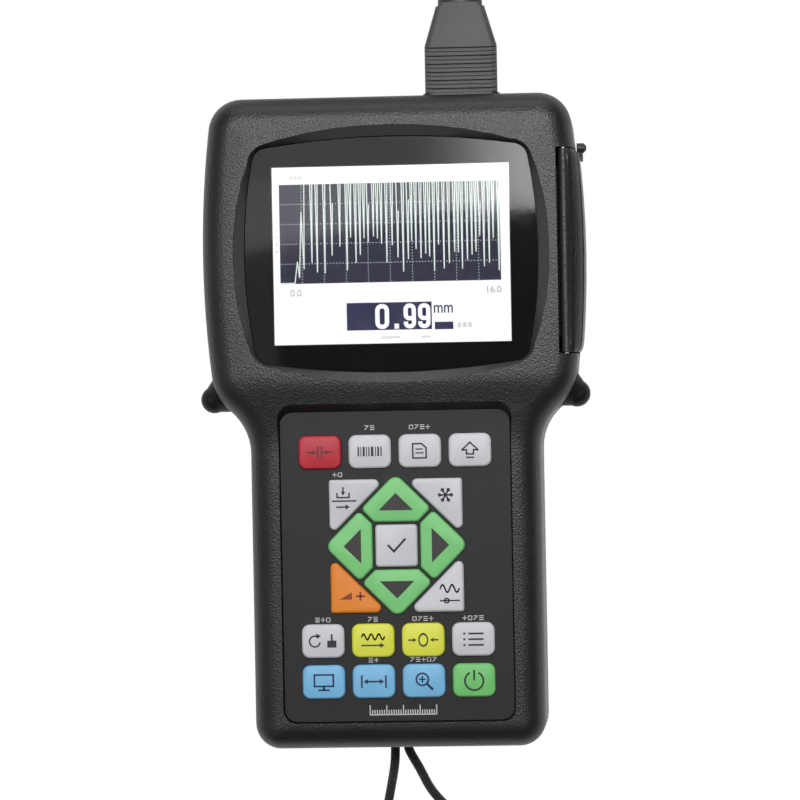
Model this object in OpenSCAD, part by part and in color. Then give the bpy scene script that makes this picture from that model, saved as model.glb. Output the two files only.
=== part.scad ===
// Ultrasonic thickness gauge, lying on its back with the display facing up.
// X runs across the body, Y runs towards the probe sockets and Z runs out of the display.

/* [Body] */
// Width at the widest point of the display end
body_w = 122.6; // [116:0.2:132]
// Length from the heel to the socket end
body_h = 209.2; // [200:0.2:224]
// Depth from the back to the display deck
body_d = 46; // [43:0.5:50]
// Width of the handle end
handle_w = 94.8; // [90:0.2:100]
// Height of the joint between the two shells
parting_z = 17; // [15.5:0.5:17.5]
// Step down from the display deck to the keypad deck
deck_drop = 3; // [1.5:0.1:3.4]
// Corner radius at the socket end
corner_r = 12; // [10:0.5:15]
// Corner radius at the heel
foot_r = 9.5; // [9.5:0.5:13]
// Radius of the bowed sides of the display end
side_r = 333; // [290:1:400]
// Radius of the rounded hips
hip_r = 18; // [15:0.5:20]
// Radius of the hollow between hip and handle
waist_r = 17; // [14:0.5:20]
// Radius of the front edge
edge_r = 7.6; // [6:0.1:8]
// Radius of the back edge
back_r = 7; // [5:0.5:8]
// Inward lean of the side walls from the joint to the edge
draft = 1.2; // [0.8:0.1:1.4]
// Thickness of the side walls at the joint
wall = 4; // [3.5:0.1:4.5]
// Thickness of the back wall
back_wall = 3; // [2.6:0.1:3.5]

/* [Display] */
// From the body's widest sides to the window
window_margin = 15; // [14:0.1:17]
// From the socket end to the window
top_margin = 14.4; // [13:0.1:16]
// Between the window and the keypad panel
bridge = 12.4; // [11.5:0.1:14]
// Border of the window at each side of the picture
border_x = 8.85; // [8:0.05:11]
// Border of the window at each end of the picture
border_y = 9; // [8:0.1:11]
// How far each side of the window bows out
window_bow = 3.6; // [2:0.1:4.5]
// Corner radius of the window
window_r = 4.5; // [3.5:0.1:7]
// Width of the sloping frame around the window
bevel_w = 3.2; // [2:0.1:3.6]
// Depth of the sloping frame
bevel_depth = 2.8; // [2:0.1:3]
// Thickness of the window
glass_t = 1.6; // [1.2:0.1:2]
// Thickness of the window seal
window_seal_t = 0.6; // [0.4:0.1:0.8]

/* [Keypad] */
// From the handle's sides to the keypad panel
pad_margin = 11.2; // [10.6:0.1:12]
// Corner radius of the keypad panel
pad_r = 4; // [3:0.5:6]
// From the heel to the lower edge of the panel
pad_rise = 10.4; // [10:0.1:12]
// Thickness of the panel
panel_t = 2; // [1.6:0.1:2.2]
// From the panel's sides to the outer keys of the straight rows
key_margin = 5.8; // [5:0.1:7]
// From the panel's ends to the first and the last row
key_rim = 7.4; // [6:0.1:9]
// Gap between neighbouring keys of the straight rows
key_gap = 2.4; // [2:0.1:3]
// Height of a key in the straight rows
key_h = 10.5; // [9:0.1:11.4]
// Corner radius of a key in the straight rows
key_r = 2.4; // [1.5:0.1:3]
// Height of a key above the panel
key_rise = 1.6; // [1.2:0.1:2.2]
// Chamfer around a key's face
key_chamfer = 0.5; // [0.3:0.05:0.6]
// How far a key can be pressed
key_travel = 0.7; // [0.5:0.05:0.8]
// From the panel's sides to the square block of nine keys
block_margin = 15.2; // [14.4:0.1:17]
// Between the square block and the rows above and below it
block_space = 3.55; // [3:0.05:5]
// Side of the centre key
enter_w = 13.2; // [12:0.1:14]
// Gap between the keys of the square block
block_gap = 1; // [0.95:0.05:1.2]
// Thickness of the key mat
mat_t = 2; // [1.5:0.1:2.2]

/* [Side door] */
// From the window's ends to the door's ends
door_short = 5.1; // [4:0.1:8]
// Thickness of the door's skin
door_t = 2.4; // [2:0.1:2.6]
// How far the door reaches in from the widest side
door_depth = 9.1; // [8.8:0.1:9.6]
// How far the door stands out of the body's side
door_proud = 1.1; // [0.6:0.1:1.4]
// Height of the door's free edge above the joint of the shells
door_lift = 2.4; // [2:0.1:4]
// Diameter of the hinge barrel
barrel_d = 3; // [2.8:0.1:3.2]
// Diameter of the hinge pin
hinge_pin_d = 1.4; // [1.2:0.1:1.6]

/* [Sockets] */
// Distance of the probe sockets from the middle
plug_x = 22.9; // [20:0.1:25]
// Distance of the power jack from the middle
jack_x = 30; // [26:0.5:34]
// Height of the sockets above the back
socket_z = 24; // [24:0.5:26]
// Spacing of the two probe sockets
socket_pitch = 12; // [11.5:0.1:13]
// Diameter of a plug pin
plug_pin_d = 5; // [4:0.1:5.4]

/* [Battery] */
// Width of the battery pack
bat_w = 42; // [36:0.5:44]
// Length of the battery pack
bat_h = 78; // [70:0.5:80]
// Thickness of the battery cover
cover_t = 2.2; // [1.8:0.1:2.2]

/* [Strap] */
// Diameter of a strap post's head
post_d = 8.6; // [7.5:0.1:9]
// Diameter of the strap cord
strap_d = 3; // [2.5:0.1:3]

/* [Probe] */
// Width of the plug's grip
grip_w = 23.2; // [21:0.1:24]
// Length of the plug's grip
grip_h = 15; // [13:0.1:15]
// Thickness of the plug
grip_t = 12; // [11:0.1:13]
// Diameter of the probe cable
cable_d = 4.5; // [4:0.1:4.6]
// Diameter of the probe
probe_d = 17; // [15:0.5:17]
// Diameter of the probe's wear face
probe_face_d = 12.8; // [11:0.1:14]

/* [Hidden] */
$fn = 48;
running_gap = 0.05;
fit_gap = 0.15;
seat_gap = 0.25;
// Share of the window bevel's width that is lost at the corners
bevel_fade = 0.8;
// Product of the x and y shares of the window's half sizes that counts as a corner
bevel_corner = 0.81;

// Planes along Y and Z
top_y = body_h / 2;
heel_y = -top_y;
window_w = body_w - 2 * window_margin;
lcd_w = window_w - 2 * border_x;
pad_w = handle_w - 2 * pad_margin;
key_w = (pad_w - 2 * key_margin - 3 * key_gap) / 4;
key_pitch = key_w + key_gap;
block_w = pad_w - 2 * block_margin;
pad_h = 2 * key_rim + 3 * key_h + key_gap + 2 * block_space + block_w;
pad_bottom = heel_y + pad_rise;
pad_y = pad_bottom + pad_h / 2;
pad_top = pad_bottom + pad_h;
window_bottom = pad_top + bridge;
window_h = top_y - top_margin - window_bottom;
window_y = window_bottom + window_h / 2;
lcd_h = window_h - 2 * border_y;
pad_deck_z = body_d - deck_drop;
panel_sink = 1;
panel_top_z = pad_deck_z - panel_sink;
panel_z = panel_top_z - panel_t;
pad_ledge_t = 2;
ceiling_z = panel_z - pad_ledge_t;
pad_ledge_w = 3;

// Body outline: tangent arcs from the socket end down one side
hip_below_window = 1;
side_c = [body_w / 2 - side_r, window_y];
corner_y = top_y - corner_r;
corner_dy = corner_y - side_c.y;
corner_c = [side_c.x + sqrt(pow(side_r - corner_r, 2) - pow(corner_dy, 2)), corner_y];
side_a1 = asin(corner_dy / (side_r - corner_r));
hip_y = window_bottom - hip_below_window;
side_a2 = asin((hip_y - side_c.y) / side_r);
hip_c = side_c + (side_r - hip_r) * dir(side_a2);
hip_a = -acos((handle_w / 2 + waist_r - hip_c.x) / (hip_r + waist_r));
waist_c = hip_c + (hip_r + waist_r) * dir(hip_a);
foot_c = [handle_w / 2 - foot_r, heel_y + foot_r];
ramp_top = hip_y;
ramp_bottom = waist_c.y;
edge_steps = 6;

// Hollow of the housing
end_wall = wall;
bay_x = body_w / 2 - door_depth;
bay_wall = 2.3;
left_wall = 7.7;
upper_left = body_w / 2 - left_wall;
upper_right = bay_x - bay_wall;
lower_half = handle_w / 2 - wall;
hollow_step = hip_y + 3;
hollow_r = 5;

// Window
side_bow_r = (pow(window_h / 2 - window_bow, 2) + pow(window_bow, 2)) / (2 * window_bow);
end_bow_r = (pow(window_w / 2 - window_bow, 2) + pow(window_bow, 2)) / (2 * window_bow);
window_side_c = [window_w / 2 - side_bow_r, 0];
window_end_c = [0, window_h / 2 - end_bow_r];
window_corner_c = circles_meet(window_side_c, side_bow_r - window_r, window_end_c, end_bow_r - window_r);
glass_sink = 0.2;
glass_top_z = body_d - bevel_depth - glass_sink;
glass_z = glass_top_z - glass_t;
window_ledge_z = glass_z - window_seal_t;
lcd_opening = 2;
lcd_frame_x = 6;
lcd_frame_y = 5;
lcd_t = 6;
lcd_air = 0.9;

// Keys: name, shape, turn, place and colour
key_clear = 0.15;
key_lip = 0.35;
lip_t = 1.1;
lip_gap = 0.1;
row_step = key_h + key_gap;
block_drop = key_rim + key_h + block_space + block_w / 2;
second_row_drop = block_drop + block_w / 2 + block_space + key_h / 2;
row_drop = [key_rim + key_h / 2, second_row_drop, second_row_drop + row_step];
block_y = pad_top - block_drop;
arrow_reach = block_w / 2 + 1.7;
arrow_slant = block_gap / sqrt(2);
corner_reach = arrow_reach + block_gap * sqrt(2);
white = "gainsboro";
red = "indianred";
green = "lightgreen";
orange = "sandybrown";
yellow = "khaki";
blue = "steelblue";
ROW_COLOURS = [
    [red, white, white, white],
    [white, yellow, yellow, white],
    [blue, blue, blue, green]
];
ARROWS = ["key_up", "key_left", "key_down", "key_right"];
CORNERS = ["key_corner_1", "key_corner_2", "key_corner_3", "key_corner_4"];
CORNER_COLOURS = [white, orange, white, white];
KEYS = concat(
    [for (r = [0:2], c = [0:3])
        [str("key_row", r + 1, "_", c + 1), "plain", 0,
            [(c - 1.5) * key_pitch, pad_top - row_drop[r]], ROW_COLOURS[r][c]]],
    [for (i = [0:3]) [ARROWS[i], "arrow", 90 * i, [0, block_y], green]],
    [for (i = [0:3]) [CORNERS[i], "corner", 90 * i, [0, block_y], CORNER_COLOURS[i]]],
    [["key_enter", "enter", 0, [0, block_y], white]]
);

// Side door
door_gap = 0.4;
door_len = window_h - 2 * door_short;
door_y = window_y;
door_z = parting_z + door_lift;
hinge_gap = 0.9;
hinge_x = bay_x + hinge_gap + barrel_d / 2;
hinge_sink = 0.8;
hinge_z = body_d - hinge_sink - barrel_d / 2;
pin_reach = 2;
tab_d = 3.2;
tab_out = 3.2;
tab_root = 2.1;
tab_past = 2.1;
tab_reach = 1.6;
tab_hold = 2.2;
tab_tip = 0.8;
tab_z = door_z + tab_d / 2 + 0.6;

// The door's ends draw in to the body's side
door_round = 4.4;
door_end = [0, 1.2, 2.6, door_round];
door_middle = [for (i = [1:5]) door_round + (door_len - 2 * door_round) * i / 6];
door_stations = concat(door_end, door_middle, [for (i = [3:-1:0]) door_len - door_end[i]]);

// The door's edge from the side at 1 towards the hinge at 0, with the depth of its grooves
DOOR_EDGE = [
    [1, 0], [0.88, 0], [0.77, 0], [0.72, 0.6], [0.67, 0], [0.56, 0], [0.45, 0], [0.35, 0],
    [0.3, 0.8], [0.25, 0], [0.17, 0]
];
door_edge_end = 0.17;
barrel_a = [50, 290];
lining_end = 1.15;

// Ports behind the door
port_z = (door_z + ceiling_z) / 2;
port_proud = 0.4;
port_board_t = 1.6;
port_board_gap = 1.3;
port_board_x = upper_right - port_board_gap;
usb = [8, 4.2];
usb_wall = 0.5;
card = [14.6, 2.4];
card_wall = 0.6;
seal_inset = 5;
seal_lift = 1;
seal_w = door_len - 2 * seal_inset;
seal_h = 2 * (port_z - door_z - seal_lift);
seal_band = 2;
seal_t = 1;
port_board_w = seal_w - 2 * seal_band;
port_board_h = seal_h - 2 * seal_band;
port_rim = 2;
usb_y = door_y + port_board_w / 2 - port_rim - usb.x / 2;
card_y = door_y - port_board_w / 2 + port_rim + card.x / 2;

// Sockets at the end
pedestal_w = 24.6;
pedestal_lift = 0.3;
pedestal_t = 2 * (socket_z - parting_z - pedestal_lift);
pedestal_rise = 0.4;
socket_face_y = top_y + pedestal_rise;
socket_d = 8.4;
socket_nut_d = 11;
socket_nut_t = 2;
socket_back = 3.5;
pin_len = 6.2;
jack_d = 9;
jack_bore_d = 5.5;
jack_pin_d = 2;
jack_depth = 5;
jack_sink = 0.7;

// Fasteners
screw_d = 2.8;
screw_head_d = 5.4;
screw_head_t = 2.2;
screw_sink = 0.8;
screw_len = ceiling_z - parting_z + 1;
boss_d = 6.8;
boss_inset = 9.4;
mid_boss_drop = 3;
SCREWS = [for (s = [-1, 1]) each [
    [s * (lower_half - 1), top_y - boss_inset],
    [s * (lower_half - boss_d / 2 - 2), hip_y - mid_boss_drop],
    [s * (lower_half - boss_d / 2 - 2), heel_y + boss_inset - 1.6]
]];
cover_screw_d = 2;
cover_head_d = 4.2;
cover_head_t = 1.2;
cover_screw_len = 6;
cover_boss_d = 6;
cover_boss_h = 7;

// Boards and battery
board_t = 1.6;
board_space = 5.5;
tub_wall = 2;
bat_gap = 0.5;
cover_gap = 0.2;
bat_y = pad_y - 0.6 + 10;
bat_z = cover_t + cover_gap;
chip_t = 4;
stack_gap = 2.5;
bat_d = ceiling_z - lcd_t - stack_gap - chip_t - board_t - tub_wall - bat_gap - bat_z;
tub_w = bat_w + 2 * bat_gap;
tub_h = bat_h + 2 * bat_gap;
tub_top_z = bat_z + bat_d + bat_gap + tub_wall;
cover_w = tub_w + 7;
cover_h = tub_h + 23;
cover_r = 4;
cover_pad = 2.6;
cover_screw_x = tub_w / 2 - 3;
cover_screw_y = tub_h / 2 + tub_wall + cover_boss_d / 2 + 0.7;
COVER_SCREWS = [for (sx = [-1, 1], sy = [-1, 1]) [sx * cover_screw_x, bat_y + sy * cover_screw_y]];
seal_groove_in = 1.2;
seal_groove_w = 1.2;
seal_groove_d = 0.9;

// Strap posts on the hips
post_z = (parting_z + body_d) / 2;
post_a = -28;
post_seat = 2.4;
post_shank_d = 4;
post_shank = 7;
post_skirt_d = post_d + 4;
post_skirt_top_d = post_d - 0.2;
post_skirt_h = 3.9;
post_head_z = 3.4;
post_land_d = post_skirt_d + 1;

// Strap anchor in the heel
anchor_x = -1;
anchor_z = 9;
eyelet_pitch = 4.2;
anchor_w = 9.4;
anchor_t = 6;
anchor_flange = 1;
anchor_sink = 0.7;
anchor_flange_t = anchor_sink + pedestal_rise;
anchor_len = end_wall + 1;
eyelet_d = strap_d + 0.2;

// Probe plug
plug_face_y = socket_face_y + 0.2;
taper_y = plug_face_y + grip_h;
taper_h = 12.9;
taper_top_w = 15.6;
taper_top_t = 10;
groove_n = 11;
groove_w = 0.75;
groove_deep = 1.2;
groove_shallow = 0.7;
groove_side = 0.5;
collar_y = taper_y + taper_h;
collar_h = 1.2;
boot_len = 25;
boot_base = [7.1, 4.6];
boot_tip = [3.4, 3.3];
boot_rings = 7;
boot_notch = 0.82;
boot_end_y = collar_y + collar_h + boot_len;

// Cable routes, chosen by hand
CABLE_ROUTE = [
    [22.9, 157, 24], [22.9, 164, 24], [22.9, 171, 23.5], [22.7, 177, 22], [22.3, 183, 19],
    [21.5, 189, 15], [20.2, 195, 11], [18.2, 201, 7.5], [15.2, 207, 5], [11, 212, 3.4],
    [5.5, 215.6, 2.8], [-1, 217.2, 2.75], [-8, 217.4, 2.75], [-16, 217.4, 2.75], [-24, 217.4, 2.75]
];
LEAD_ROUTE = [
    [-24, 152.8, 6.6], [-16, 152.9, 6.5], [-8, 153.4, 6.5], [0, 154.6, 6.8],
    [7, 156.4, 7.4], [13, 157.7, 8.1], [19.8, 158, 8.5]
];
STRAP_ROUTE = [
    [-3.1, -102.5, 9], [-3.1, -106.5, 9], [-3.2, -110, 8.4], [-3.5, -113, 6.9], [-4, -116, 5],
    [-4.6, -119, 3.2], [-5.3, -122.5, 2], [-6.2, -127, 1.6], [-7.2, -133, 1.6], [-8.4, -142, 1.6],
    [-8.6, -151, 1.6], [-7, -160, 1.6], [-3, -168, 1.6], [3.5, -174, 1.6], [12, -176.5, 1.6],
    [20.5, -174.5, 1.6], [27, -169, 1.6], [30.5, -161, 1.6], [31, -152, 1.6], [29, -143.5, 1.6],
    [24, -137, 1.6], [17.6, -131.4, 1.6], [12.3, -127, 1.6], [9.5, -123.9, 1.8],
    [7.5, -120.9, 2.5], [5.9, -117.5, 3.9], [4.4, -114.2, 5.6], [2.9, -111.2, 7.3],
    [1.7, -108.7, 8.5], [1.1, -106.5, 9], [1.1, -102.5, 9]
];
coil_c = [-24, 184];
coil_mid_r = 26.7;
coil_z = 0.5;
coil_across = 4;
coil_h = cable_d * (1 + sqrt(3) / 2);
tie_w = 9;
tie_t = 0.5;
probe_at = [20, 158];
probe_boot = 7;
probe_len = 20;
probe_face_t = 3;

// Geometry helpers
function dir(a) = [cos(a), sin(a)];
function unit(v) = v / norm(v);

// Points of an arc around c, without its first point
function arc(c, r, a0, a1, n) = [for (i = [1:n]) c + r * dir(a0 + (a1 - a0) * i / n)];

// The meeting point of two circles that lies to the left of the line from a to b
function circles_meet(a, ra, b, rb) =
    let (d = norm(b - a), u = (b - a) / d, x = (ra * ra - rb * rb + d * d) / (2 * d))
    a + x * u + sqrt(ra * ra - x * x) * [-u.y, u.x];

function lift(points, z) = [for (p = points) [p.x, p.y, z]];

function smooth(t) = let (s = min(max(t, 0), 1)) s * s * (3 - 2 * s);

// A convex polygon, given clockwise, with rounded corners and moved inward by d
function rounded(p, r, d = 0, n = 5) = [
    for (k = [0:len(p) - 1])
        let (
            before = unit(p[(k + len(p) - 1) % len(p)] - p[k]),
            after = unit(p[(k + 1) % len(p)] - p[k]),
            open = acos(before * after),
            rk = is_list(r) ? r[k] : r,
            c = p[k] + unit(before + after) * rk / sin(open / 2),
            a0 = atan2(-before.x, before.y) + 180
        )
        for (i = [0:n]) c + (rk - d) * dir(a0 + 180 - (180 - open) * i / n)
];

function box_corners(w, h) = [[-w / 2, h / 2], [w / 2, h / 2], [w / 2, -h / 2], [-w / 2, -h / 2]];

// One side of the body from the socket end to the heel, moved inward by d
function half_outline(d) = concat(
    [corner_c + (corner_r - d) * dir(90)],
    arc(corner_c, corner_r - d, 90, side_a1, 9),
    arc(side_c, side_r - d, side_a1, side_a2, 12),
    arc(hip_c, hip_r - d, side_a2, hip_a, 7),
    arc(waist_c, waist_r + d, hip_a + 180, 180, 7),
    [foot_c + (foot_r - d) * dir(0)],
    arc(foot_c, foot_r - d, 0, -90, 8)
);

function outline(d) =
    let (h = half_outline(d))
    concat(h, [for (i = [len(h) - 1:-1:0]) [-h[i].x, h[i].y]]);

// Height of the front deck, which steps down from the display to the keypad
function deck_z(y) = body_d - deck_drop * smooth((ramp_top - y) / (ramp_top - ramp_bottom));

function window_quarter(d) = let (
        a_end = atan2(window_corner_c.y - window_end_c.y, window_corner_c.x),
        a_side = atan2(window_corner_c.y, window_corner_c.x - window_side_c.x)
    )
    concat(
        [window_end_c + (end_bow_r - d) * dir(90)],
        arc(window_end_c, end_bow_r - d, 90, a_end, 5),
        arc(window_corner_c, window_r - d, a_end, a_side, 6),
        arc(window_side_c, side_bow_r - d, a_side, 0, 4)
    );

// The barrel outline of the window, moved inward by d
function window_outline(d) = let (
        q = window_quarter(d),
        right = concat(q, [for (i = [len(q) - 2:-1:0]) [q[i].x, -q[i].y]])
    )
    [for (p = concat(right, [for (i = [len(right) - 2:-1:1]) [-right[i].x, right[i].y]]))
        p + [0, window_y]];

// Upper edge of the window's bevel: widest at the middle of each side
function bevel_edge(d) = let (
        foot = window_outline(-seat_gap),
        far = window_outline(d)
    )
    [for (i = [0:len(foot) - 1])
        let (
            p = foot[i] - [0, window_y],
            share = abs(p.x * p.y) / (window_w * window_h / 4 * bevel_corner)
        )
        foot[i] + (far[i] - foot[i]) * (1 - bevel_fade * pow(min(share, 1), 2.5))];

// A solid through rings of points that run clockwise seen from the last ring.
// With rungs, an end is closed by steps between mirrored points.
module loft(rings, rungs = false) {
    n = len(rings[0]);
    last = (len(rings) - 1) * n;
    sides = [for (k = [0:len(rings) - 2], i = [0:n - 1])
        let (a = k * n + i, b = k * n + (i + 1) % n)
        each [[a, b, b + n], [a, b + n, a + n]]];
    steps = [for (i = [0:n / 2 - 2]) [i, i + 1, n - 2 - i, n - 1 - i]];
    end = rungs ? steps : [[for (i = [0:n - 1]) i]];
    far_end = [for (f = end) [for (i = f) last + i]];
    near_end = [for (f = end) [for (j = [len(f) - 1:-1:0]) f[j]]];
    polyhedron([for (r = rings) each r], concat(sides, far_end, near_end), convexity = 8);
}

// A tube along a route that never turns straight up
module tube(route, r, sides) {
    n = len(route);
    loft([for (k = [0:n - 1])
        let (
            t = unit(route[min(k + 1, n - 1)] - route[max(k - 1, 0)]),
            across = unit(cross(t, [0, 0, 1])),
            up = cross(across, t)
        )
        [for (i = [0:sides - 1]) route[k] + r * (cos(360 * i / sides) * across + sin(360 * i / sides) * up)]]);
}

module plate(w, h, r, z0, z1, at = [0, 0]) {
    translate([at.x, at.y, z0])
        linear_extrude(z1 - z0)
            polygon(rounded(box_corners(w, h), r, 0, 8));
}

// A cylinder along +Y from y0 to y1
module rod_y(d, x, z, y0, y1) {
    translate([x, y0, z])
        rotate([-90, 0, 0])
            cylinder(d = d, h = y1 - y0);
}

// A block along X with its other two sides centred on y and z
module block_x(x0, x1, y, z, w, h) {
    translate([x0, y - w / 2, z - h / 2])
        cube([x1 - x0, w, h]);
}

// Outer form of the front shell
module front_form() {
    edge = [for (i = [0:edge_steps]) 90 * i / edge_steps];
    wall_ring = [for (p = outline(0)) [p.x, p.y, parting_z]];
    edge_rings = [for (a = edge)
        [for (p = outline(draft + edge_r * (1 - cos(a))))
            [p.x, p.y, deck_z(p.y) - edge_r * (1 - sin(a))]]];
    loft(concat([wall_ring], edge_rings), true);
}

// Outer form of the rear shell
module rear_form() {
    edge_rings = [for (i = [edge_steps:-1:0])
        let (a = 90 * i / edge_steps)
        lift(outline(draft + back_r * (1 - cos(a))), back_r * (1 - sin(a)))];
    loft(concat(edge_rings, [lift(outline(0), parting_z)]), true);
}

module hollow(z0, z1) {
    upper_w = upper_left + upper_right;
    upper_h = top_y - end_wall - hollow_step;
    plate(upper_w, upper_h, hollow_r, z0, z1,
        [(upper_right - upper_left) / 2, hollow_step + upper_h / 2]);
    lower_h = hollow_step + 2 * hollow_r - (heel_y + end_wall);
    plate(2 * lower_half, lower_h, hollow_r, z0, z1, [0, heel_y + end_wall + lower_h / 2]);
}

// The window's recess, seat and picture opening
module window_cut() {
    rim = -seat_gap;
    slope = bevel_w / bevel_depth;
    spare = 1;
    loft([
        lift(window_outline(rim), body_d - bevel_depth),
        lift(bevel_edge(rim - bevel_w - spare * slope), body_d + spare)
    ]);
    translate([0, 0, window_ledge_z])
        linear_extrude(bevel_depth + glass_sink + glass_t + window_seal_t)
            polygon(window_outline(rim));
    plate(lcd_w + 2 * lcd_opening, lcd_h + 2 * lcd_opening, 2, ceiling_z - 1, body_d, [0, window_y]);
}

// The keypad's recess with leaning walls, its seat and the opening for the keys
module pad_cut() {
    over = body_d + 1;
    lean = (over - panel_top_z) * 0.25;
    lean_top = (over - panel_top_z) * 0.75;
    foot = box_corners(pad_w + 2 * seat_gap, pad_h + 2 * seat_gap);
    mouth_w = pad_w + 2 * seat_gap + 2 * lean;
    mouth_h = pad_h + 2 * seat_gap + lean + lean_top;
    mouth_y = pad_y + (lean_top - lean) / 2;
    loft([
        lift([for (p = rounded(foot, pad_r)) p + [0, pad_y]], panel_top_z),
        lift([for (p = rounded(box_corners(mouth_w, mouth_h), pad_r + lean)) p + [0, mouth_y]], over)
    ]);
    plate(pad_w + 2 * seat_gap, pad_h + 2 * seat_gap, pad_r, panel_z, over, [0, pad_y]);
    plate(pad_w - 2 * pad_ledge_w, pad_h - 2 * pad_ledge_w, pad_r, ceiling_z - 1, over, [0, pad_y]);
}

// The opening behind the side door, with the holes for the ports
module bay_cut() {
    translate([bay_x, door_y - door_len / 2 - door_gap, door_z - door_gap])
        cube([door_depth + 10, door_len + 2 * door_gap, body_d]);
    block_x(upper_right - 1, bay_x + 1, usb_y, port_z, usb.x + 2 * fit_gap, usb.y + 2 * fit_gap);
    block_x(upper_right - 1, bay_x + 1, card_y, port_z, card.x + 2 * fit_gap, card.y + 2 * fit_gap);
    rod_y(hinge_pin_d + 2 * running_gap, hinge_x, hinge_z,
        door_y - door_len / 2 - pin_reach, door_y + door_len / 2 + pin_reach);
}

// Runs its children on the hip of one side, with +Z pointing out along the post
module on_hip(side) {
    mirror([side < 0 ? 1 : 0, 0, 0])
        translate([hip_c.x, hip_c.y, post_z])
            rotate([0, 0, post_a])
                translate([hip_r - post_seat, 0, 0])
                    rotate([0, 90, 0])
                        children();
}

module hip_cut(side) {
    on_hip(side) {
        cylinder(d = post_land_d, h = 10);
        translate([0, 0, -post_shank - fit_gap])
            cylinder(d = post_shank_d + 2 * running_gap, h = post_shank + 1);
    }
}

module screw_bosses(z0, z1) {
    for (s = SCREWS)
        translate([s.x, s.y, z0])
            cylinder(d = boss_d, h = z1 - z0);
}

module socket_holes() {
    far = top_y + 5;
    near = top_y - end_wall - 1;
    for (s = [-1, 1])
        rod_y(socket_d + 2 * running_gap, plug_x + s * socket_pitch / 2, socket_z, near, far);
    rod_y(jack_d + 2 * running_gap, -jack_x, socket_z, near, far);
}

module front_housing() {
    root = end_wall - 1;
    color("dimgray")
        difference() {
            union() {
                difference() {
                    union() {
                        front_form();
                        translate([plug_x, socket_face_y, socket_z])
                            rotate([90, 0, 0])
                                plate(pedestal_w, pedestal_t, 3, 0, root + pedestal_rise);
                    }
                    hollow(parting_z - 1, ceiling_z);
                }
                screw_bosses(parting_z, ceiling_z + 0.5);
            }
            window_cut();
            pad_cut();
            bay_cut();
            hip_cut(-1);
            hip_cut(1);
            socket_holes();
            for (s = SCREWS)
                translate([s.x, s.y, parting_z - 1])
                    cylinder(d = screw_d + 2 * running_gap, h = screw_len);
        }
}

module tub_block(grow, z0, z1) {
    translate([-tub_w / 2 - grow, bat_y - tub_h / 2 - grow, z0])
        cube([tub_w + 2 * grow, tub_h + 2 * grow, z1 - z0]);
}

module anchor_hole(grow, y0, y1) {
    translate([anchor_x, y0, anchor_z])
        rotate([-90, 0, 0])
            plate(anchor_w + 2 * grow, anchor_t + 2 * grow, 2, 0, y1 - y0);
}

module rear_housing() {
    color("dimgray")
        difference() {
            union() {
                difference() {
                    rear_form();
                    hollow(back_wall, parting_z + 1);
                }
                screw_bosses(back_wall - 0.5, parting_z);
                plate(cover_w + 4, cover_h + 4, cover_r, 1, back_wall + cover_pad, [0, bat_y]);
                tub_block(tub_wall, back_wall - 0.5, tub_top_z);
                for (s = COVER_SCREWS)
                    translate([s.x, s.y, back_wall])
                        cylinder(d = cover_boss_d, h = cover_boss_h);
            }
            tub_block(0, -1, tub_top_z - tub_wall);
            plate(cover_w + 2 * cover_gap, cover_h + 2 * cover_gap, cover_r, -1, bat_z, [0, bat_y]);
            for (s = COVER_SCREWS)
                translate([s.x, s.y, 0])
                    cylinder(d = cover_screw_d + 2 * running_gap, h = cover_screw_len + bat_z);
            for (s = SCREWS)
                translate([s.x, s.y, 0]) {
                    translate([0, 0, -1])
                        cylinder(d = screw_d + 2 * fit_gap, h = parting_z + 2);
                    translate([0, 0, -1])
                        cylinder(d = screw_head_d + 2 * fit_gap, h = 1 + screw_sink + screw_head_t);
                }
            translate([0, 0, parting_z - seal_groove_d])
                linear_extrude(seal_groove_d + 1)
                    difference() {
                        polygon(outline(seal_groove_in));
                        polygon(outline(seal_groove_in + seal_groove_w));
                    }
            anchor_hole(anchor_flange + fit_gap, heel_y - 2, heel_y + anchor_sink);
            anchor_hole(fit_gap, heel_y - 2, heel_y + end_wall + 1);
        }
}

module housing_seal() {
    color("black")
        translate([0, 0, parting_z - seal_groove_d])
            linear_extrude(seal_groove_d - running_gap)
                difference() {
                    polygon(outline(seal_groove_in + running_gap));
                    polygon(outline(seal_groove_in + seal_groove_w - running_gap));
                }
}

module housing_screws() {
    color("silver")
        for (s = SCREWS)
            translate([s.x, s.y, screw_sink]) {
                difference() {
                    cylinder(d = screw_head_d, h = screw_head_t);
                    translate([0, 0, -1])
                        cylinder(d = screw_head_d * 0.5, h = 1 + screw_head_t / 2, $fn = 6);
                }
                cylinder(d = screw_d, h = screw_len + parting_z - screw_sink - 3);
            }
}

module display_window() {
    color("dimgray")
        translate([0, 0, glass_z])
            linear_extrude(glass_t)
                polygon(window_outline(0));
}

module window_seal() {
    color("black")
        translate([0, 0, window_ledge_z])
            linear_extrude(window_seal_t)
                difference() {
                    polygon(window_outline(0));
                    translate([0, window_y])
                        square([lcd_w + 2 * lcd_opening, lcd_h + 2 * lcd_opening], center = true);
                }
}

module lcd_module() {
    color("navy") {
        plate(lcd_w + 2 * lcd_frame_x, lcd_h + 2 * lcd_frame_y, 1, ceiling_z - lcd_t, ceiling_z,
            [0, window_y]);
        plate(lcd_w + lcd_opening, lcd_h + lcd_opening, 0.5, ceiling_z - 1, glass_z - lcd_air,
            [0, window_y]);
    }
}

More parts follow.
